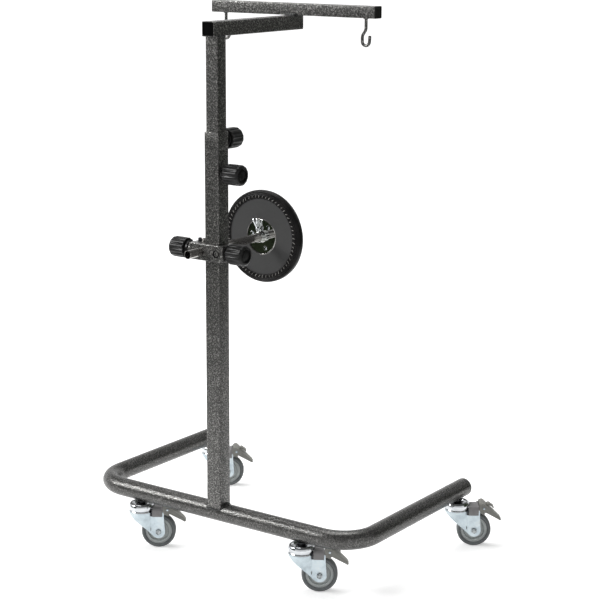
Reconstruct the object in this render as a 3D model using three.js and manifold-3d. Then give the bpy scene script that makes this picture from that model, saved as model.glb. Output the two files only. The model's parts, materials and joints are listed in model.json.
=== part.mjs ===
// Rolling gong stand with a damping disc, at its real size in millimetres, +Z up.
// X runs along the crossbar and Y along the base arms, towards the side where the gong hangs.
// Sizes are measured from the post's axis and the floor. The finished stand is then moved
// so that the origin lies on the floor, under the middle of its box.
import * as THREE from 'three';
import { mergeVertices } from 'three/addons/utils/BufferGeometryUtils.js';
import Module from 'manifold-3d';

const wasm = await Module();
wasm.setup();

// Clearances shared by all pieces
const seatGap = 0.3;            // between a turned or curved piece and its seat
const weldGap = 0.1;            // between two faces that a weld joins
const slideGap = 0.5;           // each side of a post that slides in another
const cutOverrun = 5;           // how far a cutting shape passes the face that it cuts

// Base frame of round tube
const baseTubeDiameter = 42.4;
const baseTubeWall = 2;
const baseHalfWidth = 366;      // post axis to arm axis
const armReach = 471;           // back bar axis to the open end of an arm
const baseBendRadius = 80;
const basePlugFlange = 3;
const basePlugDepth = 14;

// Posts
const lowerPostSize = 38;
const lowerPostWall = 2.5;
const lowerPostCorner = 3;
const lowerPostLength = 826;    // base tube axis to the top of the lower post
const upperPostWall = 2;
const upperPostCorner = 2.5;
const upperPostShown = 243;     // lower post top to the cantilever's underside
const upperPostInside = 420;    // the length that stays in the lower post
const collarHeight = 38;

// Cantilever and crossbar
const cantileverSize = 32;
const cantileverBack = 25;      // post axis to its back end
const cantileverFront = 300;    // post axis to its front end
const barWall = 2;
const barCorner = 2.5;
const crossbarSize = 27;
const crossbarLength = 450;
const crossbarSetback = 12;     // its axis behind the cantilever's front end
const capDepth = 12;
const capFlange = 2;
const capDish = 1.2;

// Hooks
const hookRod = 7;
const hookSpacing = 390;
const hookShank = 20;           // straight run under the crossbar
const hookLean = 9.5;           // how far the back of the hook leans out
const hookHalfWidth = 9.4;
const hookBendDrop = 24;        // height over which the rod leans out
const hookSideDrop = 7;         // straight side between the lean and the bowl
const hookTipRise = 13;
const hookTipFlare = 1.2;

// Knobs, all of one pattern, each with its threaded stud moulded in, and the welded nuts
const knobDiameter = 46;
const knobLength = 41;
const knobFlutes = 12;
const knobFluteDepth = 2;
const knobShoulder = 6;
const knobFootChamfer = 1.5;
const knobNeckDiameter = 34;
const knobDishDiameter = 31;
const knobDishDepth = 4;
const knobCapDiameter = 19;
const knobCapRise = 2.5;
const knobShortNeck = 3.7;
const knobLongNeck = 8.5;
const studDiameter = 10;
const studGrip = 20;            // length of a stud inside its knob
const nutAcrossFlats = 19;
const nutHeight = 8;
const heightKnobDrop = 52;      // lower post top to the height knob's axis

// Damper clamp on the lower post
const clampHeight = 37;
const clampDrop = 227;          // lower post top to the clamp's middle
const clampFrontWall = 3.5;
const clampStudWall = 12;
const clampReach = 62;          // post axis to the block's rod end
const clampBossDiameter = 30;
const clampBossLength = 10;
const clampCorner = 5;
const clampBevel = 2;
const clampPocketDiameter = 16;
const clampPocketOffset = 14.4;
const clampSmallPocketDiameter = 9;
const clampSmallPocketOffset = -21;
const clampPocketDepth = 2;

// Damper rod and disc
const rodDiameter = 19;
const rodWall = 1.6;
const rodOffset = 31;           // post axis to rod axis
const rodBack = 65;             // post axis to the rod's open end
const discNearFace = 204;       // post axis to the back plate's face
const discDiameter = 215;
const discThickness = 23;
const plateDiameter = 192;
const plateThickness = 4;
const plateHoleDiameter = 82;
const padHem = 8;               // the hem laps this far over the plate's edge
const padHemThickness = 2;
const flangeDiameter = 79;
const flangeThickness = 2.5;
const flangeHubDiameter = 25;
const flangeHubLength = 14;
const wingScrewDiameter = 6;
const wingScrewShank = 10;
const wingSpan = 10;
const wingRise = 24;
const wingThickness = 3;
const wingLean = 18;            // degrees from upright

// Casters
const wheelDiameter = 80;
const tyreWidth = 25;
const hubDiameter = 61.6;
const casterTrail = 40;         // swivel axis to wheel axle
const casterHeading = 35;       // degrees from X towards Y, all four trail alike
const backCasterOffset = 230;   // post axis to a back caster, along the back bar
const frontCasterInset = 28;    // arm's open end to a front caster's swivel axis
const crownRise = 5.2;          // wheel top to the underside of the fork's crown
const forkPlate = 2.5;
const forkSideGap = 2.5;        // tyre to the fork's leg
const forkCrownDiameter = 58;
const forkLobeRadius = 15.5;
const forkRearLean = 13;        // the leg's rear edge behind the axle, at the top
const forkLobeEnd = 12;         // degrees above level where the lobe meets the rear edge
const headDiameter = 60;
const headHeight = 14.8;        // fork's crown to the dish in the head's top
const headDishDiameter = 36;
const headRimRise = 5.5;        // how far the head's rim stands above its dish
const stemDiameter = 12;
const stemSpacerDiameter = 20;
const stemSpacerHeight = 10.3;
const stemWasherDiameter = 26;
const stemWasherHeight = 2.5;
const stemInsert = 22;          // length of the stem inside the base tube
const rivetDiameter = 19;
const rivetHeight = 3;
const axleDiameter = 8;
const axleHexFlats = 13;
const axleHexHeight = 4.5;
const hubBossDiameter = 17;
const hubRimWidth = 19;
const hubWebWidth = 13;

// Wheel brake, its places measured from the axle
const hoodFront = 26;           // swivel axis to the hood's front edge
const hoodRear = 49.7;
const hoodBottom = 38;
const hoodTop = 61;
const hoodRoof = 3;
const hoodWall = 3.3;
const earWall = 1.5;
const brakePinReach = 62;       // swivel axis to the pedal's pin
const brakePinRise = 55;        // axle to the pedal's pin
const brakePinDiameter = 5;
const earRadius = 5.2;
const pedalReach = 104.4;       // swivel axis to the pedal's tip
const pedalPeakRise = 67;       // axle to the pedal's peak
const pedalSkin = 2.5;
const brakeShoeHalfWidth = 11;
const brakeShoeRadius = 18.9;   // pin axis to the shoe's face
const brakeShoeStart = 12;      // degrees past the line from the pin to the axle
const brakeShoeEnd = 30;
const tabHalfWidth = 7;

// Smoothness of round pieces
const tubeSides = 20;
const boreSides = 12;
const bendSteps = 6;
const wheelSides = 24;
const hubSides = 16;
const headSides = 18;
const smallSides = 12;
const forkLobeSteps = 4;
const forkArcSteps = 8;
const discSides = 36;
const knobPointsPerFlute = 3;
const pinSides = 8;
const cornerSteps = 2;
const hookSides = 8;
const hookLeanSteps = 4;
const hookBowlSteps = 7;

// Places worked out from the sizes above
const degree = Math.PI / 180;
const baseTubeRadius = baseTubeDiameter / 2;
const wheelRadius = wheelDiameter / 2;
const crownBottom = wheelRadius + crownRise;
const crownTop = crownBottom + forkPlate;
const headTop = crownTop + headHeight;
const frontCasterReach = armReach - frontCasterInset;
const baseTubeLevel = wheelRadius + headTop + stemSpacerHeight + baseTubeRadius;
const lowerPostBore = lowerPostSize - 2 * lowerPostWall;
const upperPostSize = lowerPostBore - 2 * slideGap;
const lowerPostTop = baseTubeLevel + lowerPostLength;
const cantileverUnderside = lowerPostTop + upperPostShown;
const crossbarUnderside = cantileverUnderside + cantileverSize;
const crossbarAxisY = cantileverFront - crossbarSetback;
const heightKnobLevel = lowerPostTop - heightKnobDrop;
const collarLevel = lowerPostTop + seatGap;
const clampMiddle = lowerPostTop - clampDrop;
const clampHalfDepth = lowerPostSize / 2 + seatGap + clampFrontWall;
const clampKnobEnd = lowerPostSize / 2 + clampStudWall;
const studHole = studDiameter / 2 + seatGap;
const forkHalfInner = tyreWidth / 2 + forkSideGap;
const forkHalfOuter = forkHalfInner + forkPlate;
const hoodHalfInner = forkHalfOuter + seatGap;
const hoodHalfOuter = hoodHalfInner + hoodWall;

// Materials of the finished pieces
function finish(color, roughness, metalness) {
  return new THREE.MeshStandardMaterial({ color, roughness, metalness });
}
const hammertone = finish(0x4a4b4b, 0.4, 0.6);
const blackPlastic = finish(0x232326, 0.5, 0);
const zincPlate = finish(0xb9c6cd, 0.35, 0.8);
const chrome = finish(0xc8ccd0, 0.12, 1);
const blackSteel = finish(0x26282a, 0.4, 0.7);
const plainSteel = finish(0x8b8580, 0.3, 0.9);
const hubGrey = finish(0x8f9694, 0.5, 0);
const tyreGrey = finish(0x5b5e5f, 0.8, 0);
const brakeGrey = finish(0x77766f, 0.55, 0.2);
const plateGrey = finish(0x3f4041, 0.85, 0);
const padBlack = finish(0x1d1c1c, 0.6, 0);

// Closed meshes and the joins and cuts between them

// Keeps only shared positions and turns all faces outward
function closed(geometry) {
  geometry.deleteAttribute('normal');
  geometry.deleteAttribute('uv');
  const merged = mergeVertices(geometry);
  if (signedVolume(merged) < 0) {
    const index = merged.index.array;
    for (let i = 0; i < index.length; i += 3) {
      [index[i], index[i + 1]] = [index[i + 1], index[i]];
    }
  }
  return merged;
}

function signedVolume(geometry) {
  const place = geometry.attributes.position;
  const index = geometry.index;
  const corner = [new THREE.Vector3(), new THREE.Vector3(), new THREE.Vector3()];
  let volume = 0;
  for (let i = 0; i < index.count; i += 3) {
    corner.forEach((point, k) => point.fromBufferAttribute(place, index.getX(i + k)));
    volume += corner[0].dot(corner[1].cross(corner[2]));
  }
  return volume;
}

function toManifold(geometry) {
  const shape = closed(geometry);
  return new wasm.Manifold(new wasm.Mesh({
    numProp: 3,
    vertProperties: new Float32Array(shape.attributes.position.array),
    triVerts: new Uint32Array(shape.index.array),
  }));
}

function fromManifold(solid) {
  const { vertProperties, triVerts } = solid.getMesh();
  const geometry = new THREE.BufferGeometry();
  geometry.setAttribute('position', new THREE.BufferAttribute(vertProperties, 3));
  geometry.setIndex(new THREE.BufferAttribute(triVerts, 1));
  return geometry;
}

function join(...geometries) {
  const solids = geometries.map(toManifold);
  return fromManifold(solids.reduce((whole, solid) => whole.add(solid)));
}

function cut(geometry, ...tools) {
  const start = toManifold(geometry);
  return fromManifold(tools.map(toManifold).reduce((left, tool) => left.subtract(tool), start));
}

function common(geometry, other) {
  return fromManifold(toManifold(geometry).intersect(toManifold(other)));
}

// Basic forms

// A solid of revolution about Y, from [radius, height] points
function turned(profile, sides) {
  return new THREE.LatheGeometry(profile.map(([r, y]) => new THREE.Vector2(r, y)), sides);
}

// The same about Z
function turnedUpright(profile, sides) {
  return turned(profile, sides).rotateX(Math.PI / 2);
}

// A round bar about Y between two heights
function roundBar(radius, from, to, sides) {
  return turned([[0, from], [radius, from], [radius, to], [0, to]], sides);
}

// A hexagonal bar about Y, with a flat side facing X
function hexBar(acrossFlats, from, to) {
  const cornerRadius = acrossFlats / 2 / Math.cos(Math.PI / 6);
  return roundBar(cornerRadius, from, to, 6).rotateY(Math.PI / 6);
}

const aboutX = (geometry) => geometry.rotateZ(-Math.PI / 2);
const aboutZ = (geometry) => geometry.rotateX(Math.PI / 2);

function outline(points) {
  return new THREE.Shape(points.map(([x, y]) => new THREE.Vector2(x, y)));
}

// An outline in the X and Z plane, made a slab of even thickness across Y
function slab(points, halfWidth) {
  return new THREE.ExtrudeGeometry(outline(points), { depth: 2 * halfWidth, bevelEnabled: false })
    .translate(0, 0, -halfWidth)
    .rotateX(Math.PI / 2);
}

function roundedRectangle(path, width, height, radius) {
  const x = width / 2 - radius;
  const y = height / 2 - radius;
  path.moveTo(x, -y - radius);
  path.absarc(x, -y, radius, -Math.PI / 2, 0);
  path.absarc(x, y, radius, 0, Math.PI / 2);
  path.absarc(-x, y, radius, Math.PI / 2, Math.PI);
  path.absarc(-x, -y, radius, Math.PI, 3 * Math.PI / 2);
  return path;
}

// A square tube along +Z from the origin
function squareTube(size, wall, corner, length) {
  const shape = roundedRectangle(new THREE.Shape(), size, size, corner);
  const bore = size - 2 * wall;
  shape.holes.push(roundedRectangle(new THREE.Path(), bore, bore, corner - wall));
  return new THREE.ExtrudeGeometry(shape, {
    depth: length, bevelEnabled: false, curveSegments: cornerSteps,
  });
}

// A solid square bar along +Z from the origin
function squareBar(size, corner, length) {
  const shape = roundedRectangle(new THREE.Shape(), size, size, corner);
  return new THREE.ExtrudeGeometry(shape, {
    depth: length, bevelEnabled: false, curveSegments: cornerSteps,
  });
}

// A skin over rings of equal point count, closed by a flat fan at each end
function loft(rings) {
  const count = rings[0].length;
  const points = rings.flat();
  const faces = [];
  for (let ring = 0; ring < rings.length - 1; ring += 1) {
    for (let i = 0; i < count; i += 1) {
      const a = ring * count + i;
      const b = ring * count + (i + 1) % count;
      faces.push(a, b, b + count, a, b + count, a + count);
    }
  }
  for (const [first, turn] of [[0, -1], [points.length - count, 1]]) {
    const ring = points.slice(first, first + count);
    const middle = ring.reduce((sum, point) => sum.add(point), new THREE.Vector3());
    points.push(middle.divideScalar(count));
    for (let i = 0; i < count; i += 1) {
      const edge = [first + i, first + (i + 1) % count];
      faces.push(...(turn > 0 ? edge : edge.reverse()), points.length - 1);
    }
  }
  const geometry = new THREE.BufferGeometry().setFromPoints(points);
  geometry.setIndex(faces);
  return geometry;
}

// A route through stations, with one section of the extruded tube at each station
class Route extends THREE.Curve {
  constructor(stations) {
    super();
    this.stations = stations;
  }

  stationAt(t) {
    return this.stations[Math.round(t * (this.stations.length - 1))];
  }

  getPointAt(t) {
    return this.stationAt(t).point.clone();
  }

  getTangentAt(t) {
    return this.stationAt(t).tangent.clone();
  }
}

// Samples [curve, steps] pairs that follow each other into one route
function routeAlong(legs) {
  const stations = [];
  legs.forEach(([curve, steps], leg) => {
    for (let i = leg === 0 ? 0 : 1; i <= steps; i += 1) {
      const t = i / steps;
      stations.push({ point: curve.getPoint(t), tangent: curve.getTangent(t) });
    }
  });
  return new Route(stations);
}

// A bar or, with a bore, a tube of round section along a route
function bentTube(route, radius, sides, bore = 0, sidesInside = sides) {
  const shape = new THREE.Shape().absarc(0, 0, radius, 0, 2 * Math.PI);
  const options = { steps: route.stations.length - 1, extrudePath: route, bevelEnabled: false };
  const bar = new THREE.ExtrudeGeometry(shape, { ...options, curveSegments: sides / 2 });
  if (bore === 0) {
    return bar;
  }
  const first = route.stations[0];
  const last = route.stations[route.stations.length - 1];
  const longer = new Route([
    { point: first.point.clone().addScaledVector(first.tangent, -cutOverrun), tangent: first.tangent },
    ...route.stations.slice(1, -1),
    { point: last.point.clone().addScaledVector(last.tangent, cutOverrun), tangent: last.tangent },
  ]);
  const hole = new THREE.Shape().absarc(0, 0, bore, 0, 2 * Math.PI);
  const core = new THREE.ExtrudeGeometry(hole, {
    ...options, extrudePath: longer, curveSegments: sidesInside / 2,
  });
  return cut(bar, core);
}

// The stand and its pieces
const stand = new THREE.Group();

function piece(name, geometry, material, parent = stand) {
  const mesh = new THREE.Mesh(closed(geometry), material);
  mesh.name = name;
  parent.add(mesh);
  return mesh;
}

// Base frame

function quarterBend(side) {
  const middle = new THREE.Vector3(side * (baseHalfWidth - baseBendRadius), baseBendRadius, 0);
  const bend = new THREE.Curve();
  bend.getPoint = (t) => {
    const angle = side < 0 ? Math.PI + t * Math.PI / 2 : -Math.PI / 2 + t * Math.PI / 2;
    return new THREE.Vector3(Math.cos(angle), Math.sin(angle), 0)
      .multiplyScalar(baseBendRadius).add(middle);
  };
  bend.getTangent = (t) => {
    const angle = side < 0 ? -Math.PI / 2 + t * Math.PI / 2 : t * Math.PI / 2;
    return new THREE.Vector3(Math.cos(angle), Math.sin(angle), 0);
  };
  return bend;
}

function straight(from, to) {
  return new THREE.LineCurve3(new THREE.Vector3(...from), new THREE.Vector3(...to));
}

const casterPlaces = {
  back_left: [-backCasterOffset, 0],
  back_right: [backCasterOffset, 0],
  front_left: [-baseHalfWidth, frontCasterReach],
  front_right: [baseHalfWidth, frontCasterReach],
};

function baseTubeShape() {
  const inner = baseHalfWidth - baseBendRadius;
  const route = routeAlong([
    [straight([-baseHalfWidth, armReach, 0], [-baseHalfWidth, baseBendRadius, 0]), 1],
    [quarterBend(-1), bendSteps],
    [straight([-inner, 0, 0], [inner, 0, 0]), 1],
    [quarterBend(1), bendSteps],
    [straight([baseHalfWidth, baseBendRadius, 0], [baseHalfWidth, armReach, 0]), 1],
  ]);
  const tube = bentTube(route, baseTubeRadius, tubeSides, baseTubeRadius - baseTubeWall, boreSides);
  const stemHoles = Object.values(casterPlaces).map(([x, y]) => (
    aboutZ(roundBar(stemDiameter / 2 + seatGap, -baseTubeRadius - cutOverrun, 0, smallSides))
      .translate(x, y, 0)));
  return cut(tube, ...stemHoles);
}

piece('base_tube', baseTubeShape(), hammertone).position.z = baseTubeLevel;

function basePlugShape() {
  const insert = (baseTubeRadius - baseTubeWall) * Math.cos(Math.PI / boreSides) - seatGap;
  const face = basePlugFlange + weldGap;
  return turned([
    [0, -basePlugDepth], [insert - basePlugFlange / 2, -basePlugDepth],
    [insert, -basePlugDepth + basePlugFlange / 2], [insert, weldGap],
    [baseTubeRadius, weldGap], [baseTubeRadius, face / 2],
    [baseTubeRadius - basePlugFlange / 2, face], [0, face],
  ], tubeSides);
}

for (const [name, side] of [['base_plug_left', -1], ['base_plug_right', 1]]) {
  piece(name, basePlugShape(), blackPlastic).position
    .set(side * baseHalfWidth, armReach, baseTubeLevel);
}

// Posts

// The hole for a knob's stud in the +X wall of a post
function studWay(level) {
  return aboutX(roundBar(studHole, 0, lowerPostSize + nutHeight, smallSides))
    .translate(0, 0, level);
}

// The hexagonal nut welded on that wall round the hole
function nutShape(level) {
  const face = lowerPostSize / 2;
  const nut = aboutX(hexBar(nutAcrossFlats, face + weldGap, face + nutHeight))
    .translate(0, 0, level);
  return cut(nut, studWay(level));
}

function lowerPostShape() {
  const post = squareTube(lowerPostSize, lowerPostWall, lowerPostCorner, lowerPostLength);
  const saddle = aboutX(roundBar(baseTubeRadius + seatGap, -lowerPostSize, lowerPostSize, tubeSides));
  return cut(post, saddle, studWay(lowerPostLength - heightKnobDrop));
}

piece('lower_post', lowerPostShape(), hammertone).position.z = baseTubeLevel;
piece('height_nut', nutShape(heightKnobLevel), hammertone);

piece('upper_post', squareTube(upperPostSize, upperPostWall, upperPostCorner,
  upperPostInside + upperPostShown - weldGap), hammertone)
  .position.z = lowerPostTop - upperPostInside;

const collar = new THREE.Group();
collar.position.z = collarLevel;
collar.rotation.z = Math.PI / 2;
stand.add(collar);
piece('stop_collar', cut(
  squareTube(lowerPostSize, lowerPostWall, lowerPostCorner, collarHeight),
  studWay(collarHeight / 2)), hammertone, collar);
piece('collar_nut', nutShape(collarHeight / 2), hammertone, collar);

// Cantilever and crossbar with their end caps

const alongY = (geometry) => geometry.rotateX(-Math.PI / 2);
const alongX = (geometry) => geometry.rotateY(Math.PI / 2);

const cantilever = piece('cantilever', alongY(
  squareTube(cantileverSize, barWall, barCorner, cantileverBack + cantileverFront)), hammertone);
cantilever.position.set(0, -cantileverBack, cantileverUnderside + cantileverSize / 2);

const crossbar = piece('crossbar', alongX(
  squareTube(crossbarSize, barWall, barCorner, crossbarLength)), hammertone);
crossbar.position.set(-crossbarLength / 2, crossbarAxisY,
  crossbarUnderside + crossbarSize / 2 + weldGap);

// A plug with a flange over the tube's rim and a square dish in its face, to +Z
function capShape(size) {
  const insert = size - 2 * barWall - 2 * seatGap;
  const dish = size - 2 * barWall;
  return cut(
    join(
      squareBar(insert, barCorner - barWall, capDepth + capFlange / 2).translate(0, 0, -capDepth),
      squareBar(size, barCorner, capFlange).translate(0, 0, weldGap)),
    squareBar(dish, barCorner - barWall, capFlange)
      .translate(0, 0, weldGap + capFlange - capDish));
}

const cantileverCapBack = piece('cantilever_cap_back',
  capShape(cantileverSize).rotateX(Math.PI / 2), blackPlastic);
cantileverCapBack.position.set(0, -cantileverBack, cantileverUnderside + cantileverSize / 2);
const cantileverCapFront = piece('cantilever_cap_front',
  capShape(cantileverSize).rotateX(-Math.PI / 2), blackPlastic);
cantileverCapFront.position.set(0, cantileverFront, cantileverUnderside + cantileverSize / 2);

for (const [name, side] of [['crossbar_cap_left', -1], ['crossbar_cap_right', 1]]) {
  piece(name, capShape(crossbarSize).rotateY(side * Math.PI / 2), blackPlastic)
    .position.set(side * crossbarLength / 2, crossbarAxisY,
      crossbarUnderside + crossbarSize / 2 + weldGap);
}

// Hooks: a straight shank, a lean to -X, a bowl and a tip that stands up on the +X side

function hookShape() {
  const leanEnd = -hookShank - hookBendDrop;
  const bowlLevel = leanEnd - hookSideDrop;
  const bowlX = hookHalfWidth - hookLean;
  const lean = new THREE.CubicBezierCurve3(
    new THREE.Vector3(0, 0, -hookShank),
    new THREE.Vector3(0, 0, -hookShank - hookBendDrop / 2),
    new THREE.Vector3(-hookLean, 0, leanEnd + hookBendDrop / 2),
    new THREE.Vector3(-hookLean, 0, leanEnd));
  const bowl = new THREE.Curve();
  bowl.getPoint = (t) => new THREE.Vector3(
    bowlX - hookHalfWidth * Math.cos(t * Math.PI), 0,
    bowlLevel - hookHalfWidth * Math.sin(t * Math.PI));
  const tipStart = [bowlX + hookHalfWidth, 0, bowlLevel];
  const tipEnd = [bowlX + hookHalfWidth + hookTipFlare, 0, bowlLevel + hookTipRise];
  const route = routeAlong([
    [straight([0, 0, 0], [0, 0, -hookShank]), 1],
    [lean, hookLeanSteps],
    [straight([-hookLean, 0, leanEnd], [-hookLean, 0, bowlLevel]), 1],
    [bowl, hookBowlSteps],
    [straight(tipStart, tipEnd), 1],
  ]);
  return bentTube(route, hookRod / 2, hookSides);
}

for (const [name, side] of [['hook_left', -1], ['hook_right', 1]]) {
  piece(name, hookShape(), hammertone).position
    .set(side * hookSpacing / 2, crossbarAxisY, crossbarUnderside);
}

// Knobs, made about +Z with the foot of the neck at the origin and the stud below it

function flutedRing(radius, level, depth) {
  const ring = [];
  const count = knobFlutes * knobPointsPerFlute;
  for (let i = 0; i < count; i += 1) {
    const angle = 2 * Math.PI * i / count;
    const groove = (1 + Math.cos(knobFlutes * angle)) / 2;
    const reach = radius - depth * groove ** 2;
    ring.push(new THREE.Vector3(reach * Math.cos(angle), reach * Math.sin(angle), level));
  }
  return ring;
}

function knobShape(neckLength, studReach) {
  const radius = knobDiameter / 2;
  const top = neckLength + knobLength;
  const dish = knobDishDiameter / 2;
  const cap = knobCapDiameter / 2;
  const dishFloor = top - knobDishDepth;
  const shoulderBow = knobShoulder * (1 - Math.SQRT1_2);
  const barrel = loft([
    flutedRing(radius - knobFootChamfer, neckLength, 0),
    flutedRing(radius, neckLength + knobFootChamfer, knobFluteDepth),
    flutedRing(radius, top - knobShoulder, knobFluteDepth),
    flutedRing(radius - shoulderBow, top - shoulderBow, knobFluteDepth / 2),
    flutedRing(radius - knobShoulder, top, 0),
  ]);
  const neck = turnedUpright([
    [0, 0], [knobNeckDiameter / 2, 0],
    [knobNeckDiameter / 2, neckLength + knobFootChamfer], [0, neckLength + knobFootChamfer],
  ], headSides);
  const ring = turnedUpright([
    [cap, dishFloor], [dish, dishFloor], [dish, top + cutOverrun], [0, top + cutOverrun],
    [0, dishFloor + knobCapRise], [cap - knobCapRise, dishFloor + knobCapRise],
    [cap, dishFloor],
  ], headSides);
  const studRadius = studDiameter / 2;
  const stud = turnedUpright([
    [0, -studReach], [studRadius / 2, -studReach], [studRadius, -studReach + studRadius / 2],
    [studRadius, studGrip], [0, studGrip],
  ], smallSides);
  return join(cut(join(barrel, neck), ring), stud);
}

// Places a knob on its seat, facing along an axis
function knob(name, neckLength, studReach, seat, turn) {
  const mesh = piece(name, knobShape(neckLength, studReach), blackPlastic);
  mesh.position.set(...seat);
  mesh.rotation.set(...turn);
}

const facingX = [0, Math.PI / 2, 0];
const facingMinusX = [0, -Math.PI / 2, 0];
const facingY = [-Math.PI / 2, 0, 0];
const nutFace = lowerPostSize / 2 + nutHeight + seatGap;
const postStudReach = nutFace - upperPostSize / 2 - seatGap;

knob('height_knob', knobShortNeck, postStudReach, [nutFace, 0, heightKnobLevel], facingX);
knob('collar_knob', knobShortNeck, postStudReach, [0, nutFace, collarLevel + collarHeight / 2],
  facingY);

// Damper clamp: a cast block that goes round the post and holds the rod beside it

function clampShape() {
  const length = clampReach + clampKnobEnd;
  const depth = 2 * clampHalfDepth;
  const plan = roundedRectangle(new THREE.Shape(), length - 2 * clampBevel, depth - 2 * clampBevel,
    clampCorner - clampBevel);
  const block = new THREE.ExtrudeGeometry(plan, {
    depth: clampHeight - 2 * clampBevel,
    bevelSize: clampBevel,
    bevelThickness: clampBevel,
    bevelSegments: 1,
    curveSegments: cornerSteps,
  }).translate((clampKnobEnd - clampReach) / 2, 0, clampBevel - clampHeight / 2);
  const boss = aboutX(roundBar(clampBossDiameter / 2, -clampReach - clampBossLength,
    -clampReach + clampCorner, headSides));
  const postBore = squareBar(lowerPostSize + 2 * seatGap, lowerPostCorner, clampHeight + 2 * cutOverrun)
    .translate(0, 0, -clampHeight / 2 - cutOverrun);
  const rodBore = roundBar(rodDiameter / 2 + seatGap, -clampHalfDepth - cutOverrun,
    clampHalfDepth + cutOverrun, headSides).translate(-rodOffset, 0, 0);
  const postStudWay = aboutX(roundBar(studHole, 0, clampKnobEnd + cutOverrun, smallSides));
  const rodStudWay = aboutX(roundBar(studHole, -clampReach - clampBossLength - cutOverrun,
    -rodOffset, smallSides));
  const pocketFloor = -clampHalfDepth + clampPocketDepth;
  const pocket = (diameter, offset) => roundBar(diameter / 2, -clampHalfDepth - cutOverrun,
    pocketFloor, smallSides).translate(offset, 0, 0);
  return cut(join(block, boss), postBore, rodBore, postStudWay, rodStudWay,
    pocket(clampPocketDiameter, clampPocketOffset),
    pocket(clampSmallPocketDiameter, clampSmallPocketOffset));
}

piece('clamp_body', clampShape(), hammertone).position.z = clampMiddle;

knob('post_clamp_knob', knobLongNeck, clampKnobEnd - lowerPostSize / 2,
  [clampKnobEnd + seatGap, 0, clampMiddle], facingX);
knob('rod_knob', knobLongNeck, clampReach + clampBossLength - rodOffset - rodDiameter / 2,
  [-clampReach - clampBossLength - seatGap, 0, clampMiddle], facingMinusX);

// Damper: rod, flange with hub and wing screw, back plate and covered pad, made about Y

const damper = new THREE.Group();
damper.position.set(-rodOffset, 0, clampMiddle);
stand.add(damper);

const plateBack = discNearFace + plateThickness;
const flangeFace = plateBack - flangeThickness;
const rodEnd = flangeFace - seatGap;

piece('damper_rod', turned([
  [rodDiameter / 2, -rodBack], [rodDiameter / 2, rodEnd],
  [rodDiameter / 2 - rodWall, rodEnd], [rodDiameter / 2 - rodWall, -rodBack],
  [rodDiameter / 2, -rodBack],
], tubeSides), plainSteel, damper);

const wingTurn = new THREE.Matrix4().makeRotationY(-wingLean * degree);

function flangeShape() {
  const hubRadius = flangeHubDiameter / 2;
  const bore = rodDiameter / 2 + seatGap;
  const flange = turned([
    [0, plateBack], [flangeDiameter / 2, plateBack], [flangeDiameter / 2, flangeFace],
    [hubRadius, flangeFace], [hubRadius, flangeFace - flangeHubLength],
    [bore, flangeFace - flangeHubLength], [bore, flangeFace], [0, flangeFace],
  ], discSides / 2);
  const screwWay = aboutZ(roundBar(wingScrewDiameter / 2 + seatGap, 0,
    hubRadius + cutOverrun, smallSides))
    .translate(0, flangeFace - flangeHubLength / 2, 0)
    .applyMatrix4(wingTurn);
  return cut(flange, screwWay);
}

piece('damper_flange', flangeShape(), chrome, damper);

// The wings stand in the plane of Y and Z and rise in a V from the shank
function wingScrewShape() {
  const tip = rodDiameter / 2 + seatGap;
  const wingFoot = tip + wingScrewShank;
  const shank = aboutZ(roundBar(wingScrewDiameter / 2, tip, wingFoot + wingThickness, smallSides));
  const halfSpan = wingSpan / 2;
  const wing = (side) => slab([
    [side * wingThickness / 2, wingFoot], [side * halfSpan, wingFoot + wingRise - wingThickness],
    [side * (halfSpan - wingThickness / 2), wingFoot + wingRise],
    [side * (halfSpan - wingThickness * 3 / 2), wingFoot + wingRise - wingThickness / 2],
    [-side * wingThickness / 2, wingFoot + wingThickness],
  ], wingThickness / 2).rotateZ(Math.PI / 2);
  return join(shank, wing(-1), wing(1));
}

piece('damper_wing_screw',
  wingScrewShape().translate(0, flangeFace - flangeHubLength / 2, 0).applyMatrix4(wingTurn),
  chrome, damper);

piece('damper_plate', turned([
  [plateHoleDiameter / 2, discNearFace], [plateDiameter / 2, discNearFace],
  [plateDiameter / 2, plateBack], [plateHoleDiameter / 2, plateBack],
  [plateHoleDiameter / 2, discNearFace],
], discSides), plateGrey, damper);

function padShape() {
  const radius = discDiameter / 2;
  const hemEdge = plateDiameter / 2 - padHem;
  const seat = plateDiameter / 2 + seatGap;
  const hemInner = discNearFace - seatGap;
  const hemFace = hemInner - padHemThickness;
  const floor = plateBack + seatGap;
  const farFace = discNearFace + discThickness;
  const rimMiddle = (hemFace + farFace) / 2;
  const rimRise = (farFace - hemFace) / 2;
  const roundness = radius - seat;
  return turned([
    [0, floor], [seat, floor], [seat, hemInner], [hemEdge, hemInner],
    [hemEdge + padHemThickness, hemFace], [seat + roundness / 4, hemFace + rimRise / 8],
    [radius - roundness / 6, rimMiddle - rimRise / 2],
    [radius, rimMiddle], [radius - roundness / 6, rimMiddle + rimRise / 2],
    [seat + roundness / 4, farFace - rimRise / 8], [hemEdge, farFace], [0, farFace],
  ], discSides);
}

piece('damper_pad', padShape(), padBlack, damper);

// Casters, each made about its swivel axis with the wheel trailing to +X, from the floor up

function stemShape() {
  const radius = stemDiameter / 2;
  const rivetTop = crownBottom - seatGap;
  const washerBottom = headTop + seatGap;
  const spacerTop = headTop + stemSpacerHeight - seatGap;
  return turnedUpright([
    [0, rivetTop - rivetHeight], [rivetDiameter / 2, rivetTop - rivetHeight],
    [rivetDiameter / 2, rivetTop], [radius, rivetTop], [radius, washerBottom],
    [stemWasherDiameter / 2, washerBottom], [stemWasherDiameter / 2, washerBottom + stemWasherHeight],
    [stemSpacerDiameter / 2, washerBottom + stemWasherHeight],
    [stemSpacerDiameter / 2, spacerTop], [radius, spacerTop],
    [radius, spacerTop + stemInsert], [0, spacerTop + stemInsert],
  ], smallSides);
}

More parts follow.
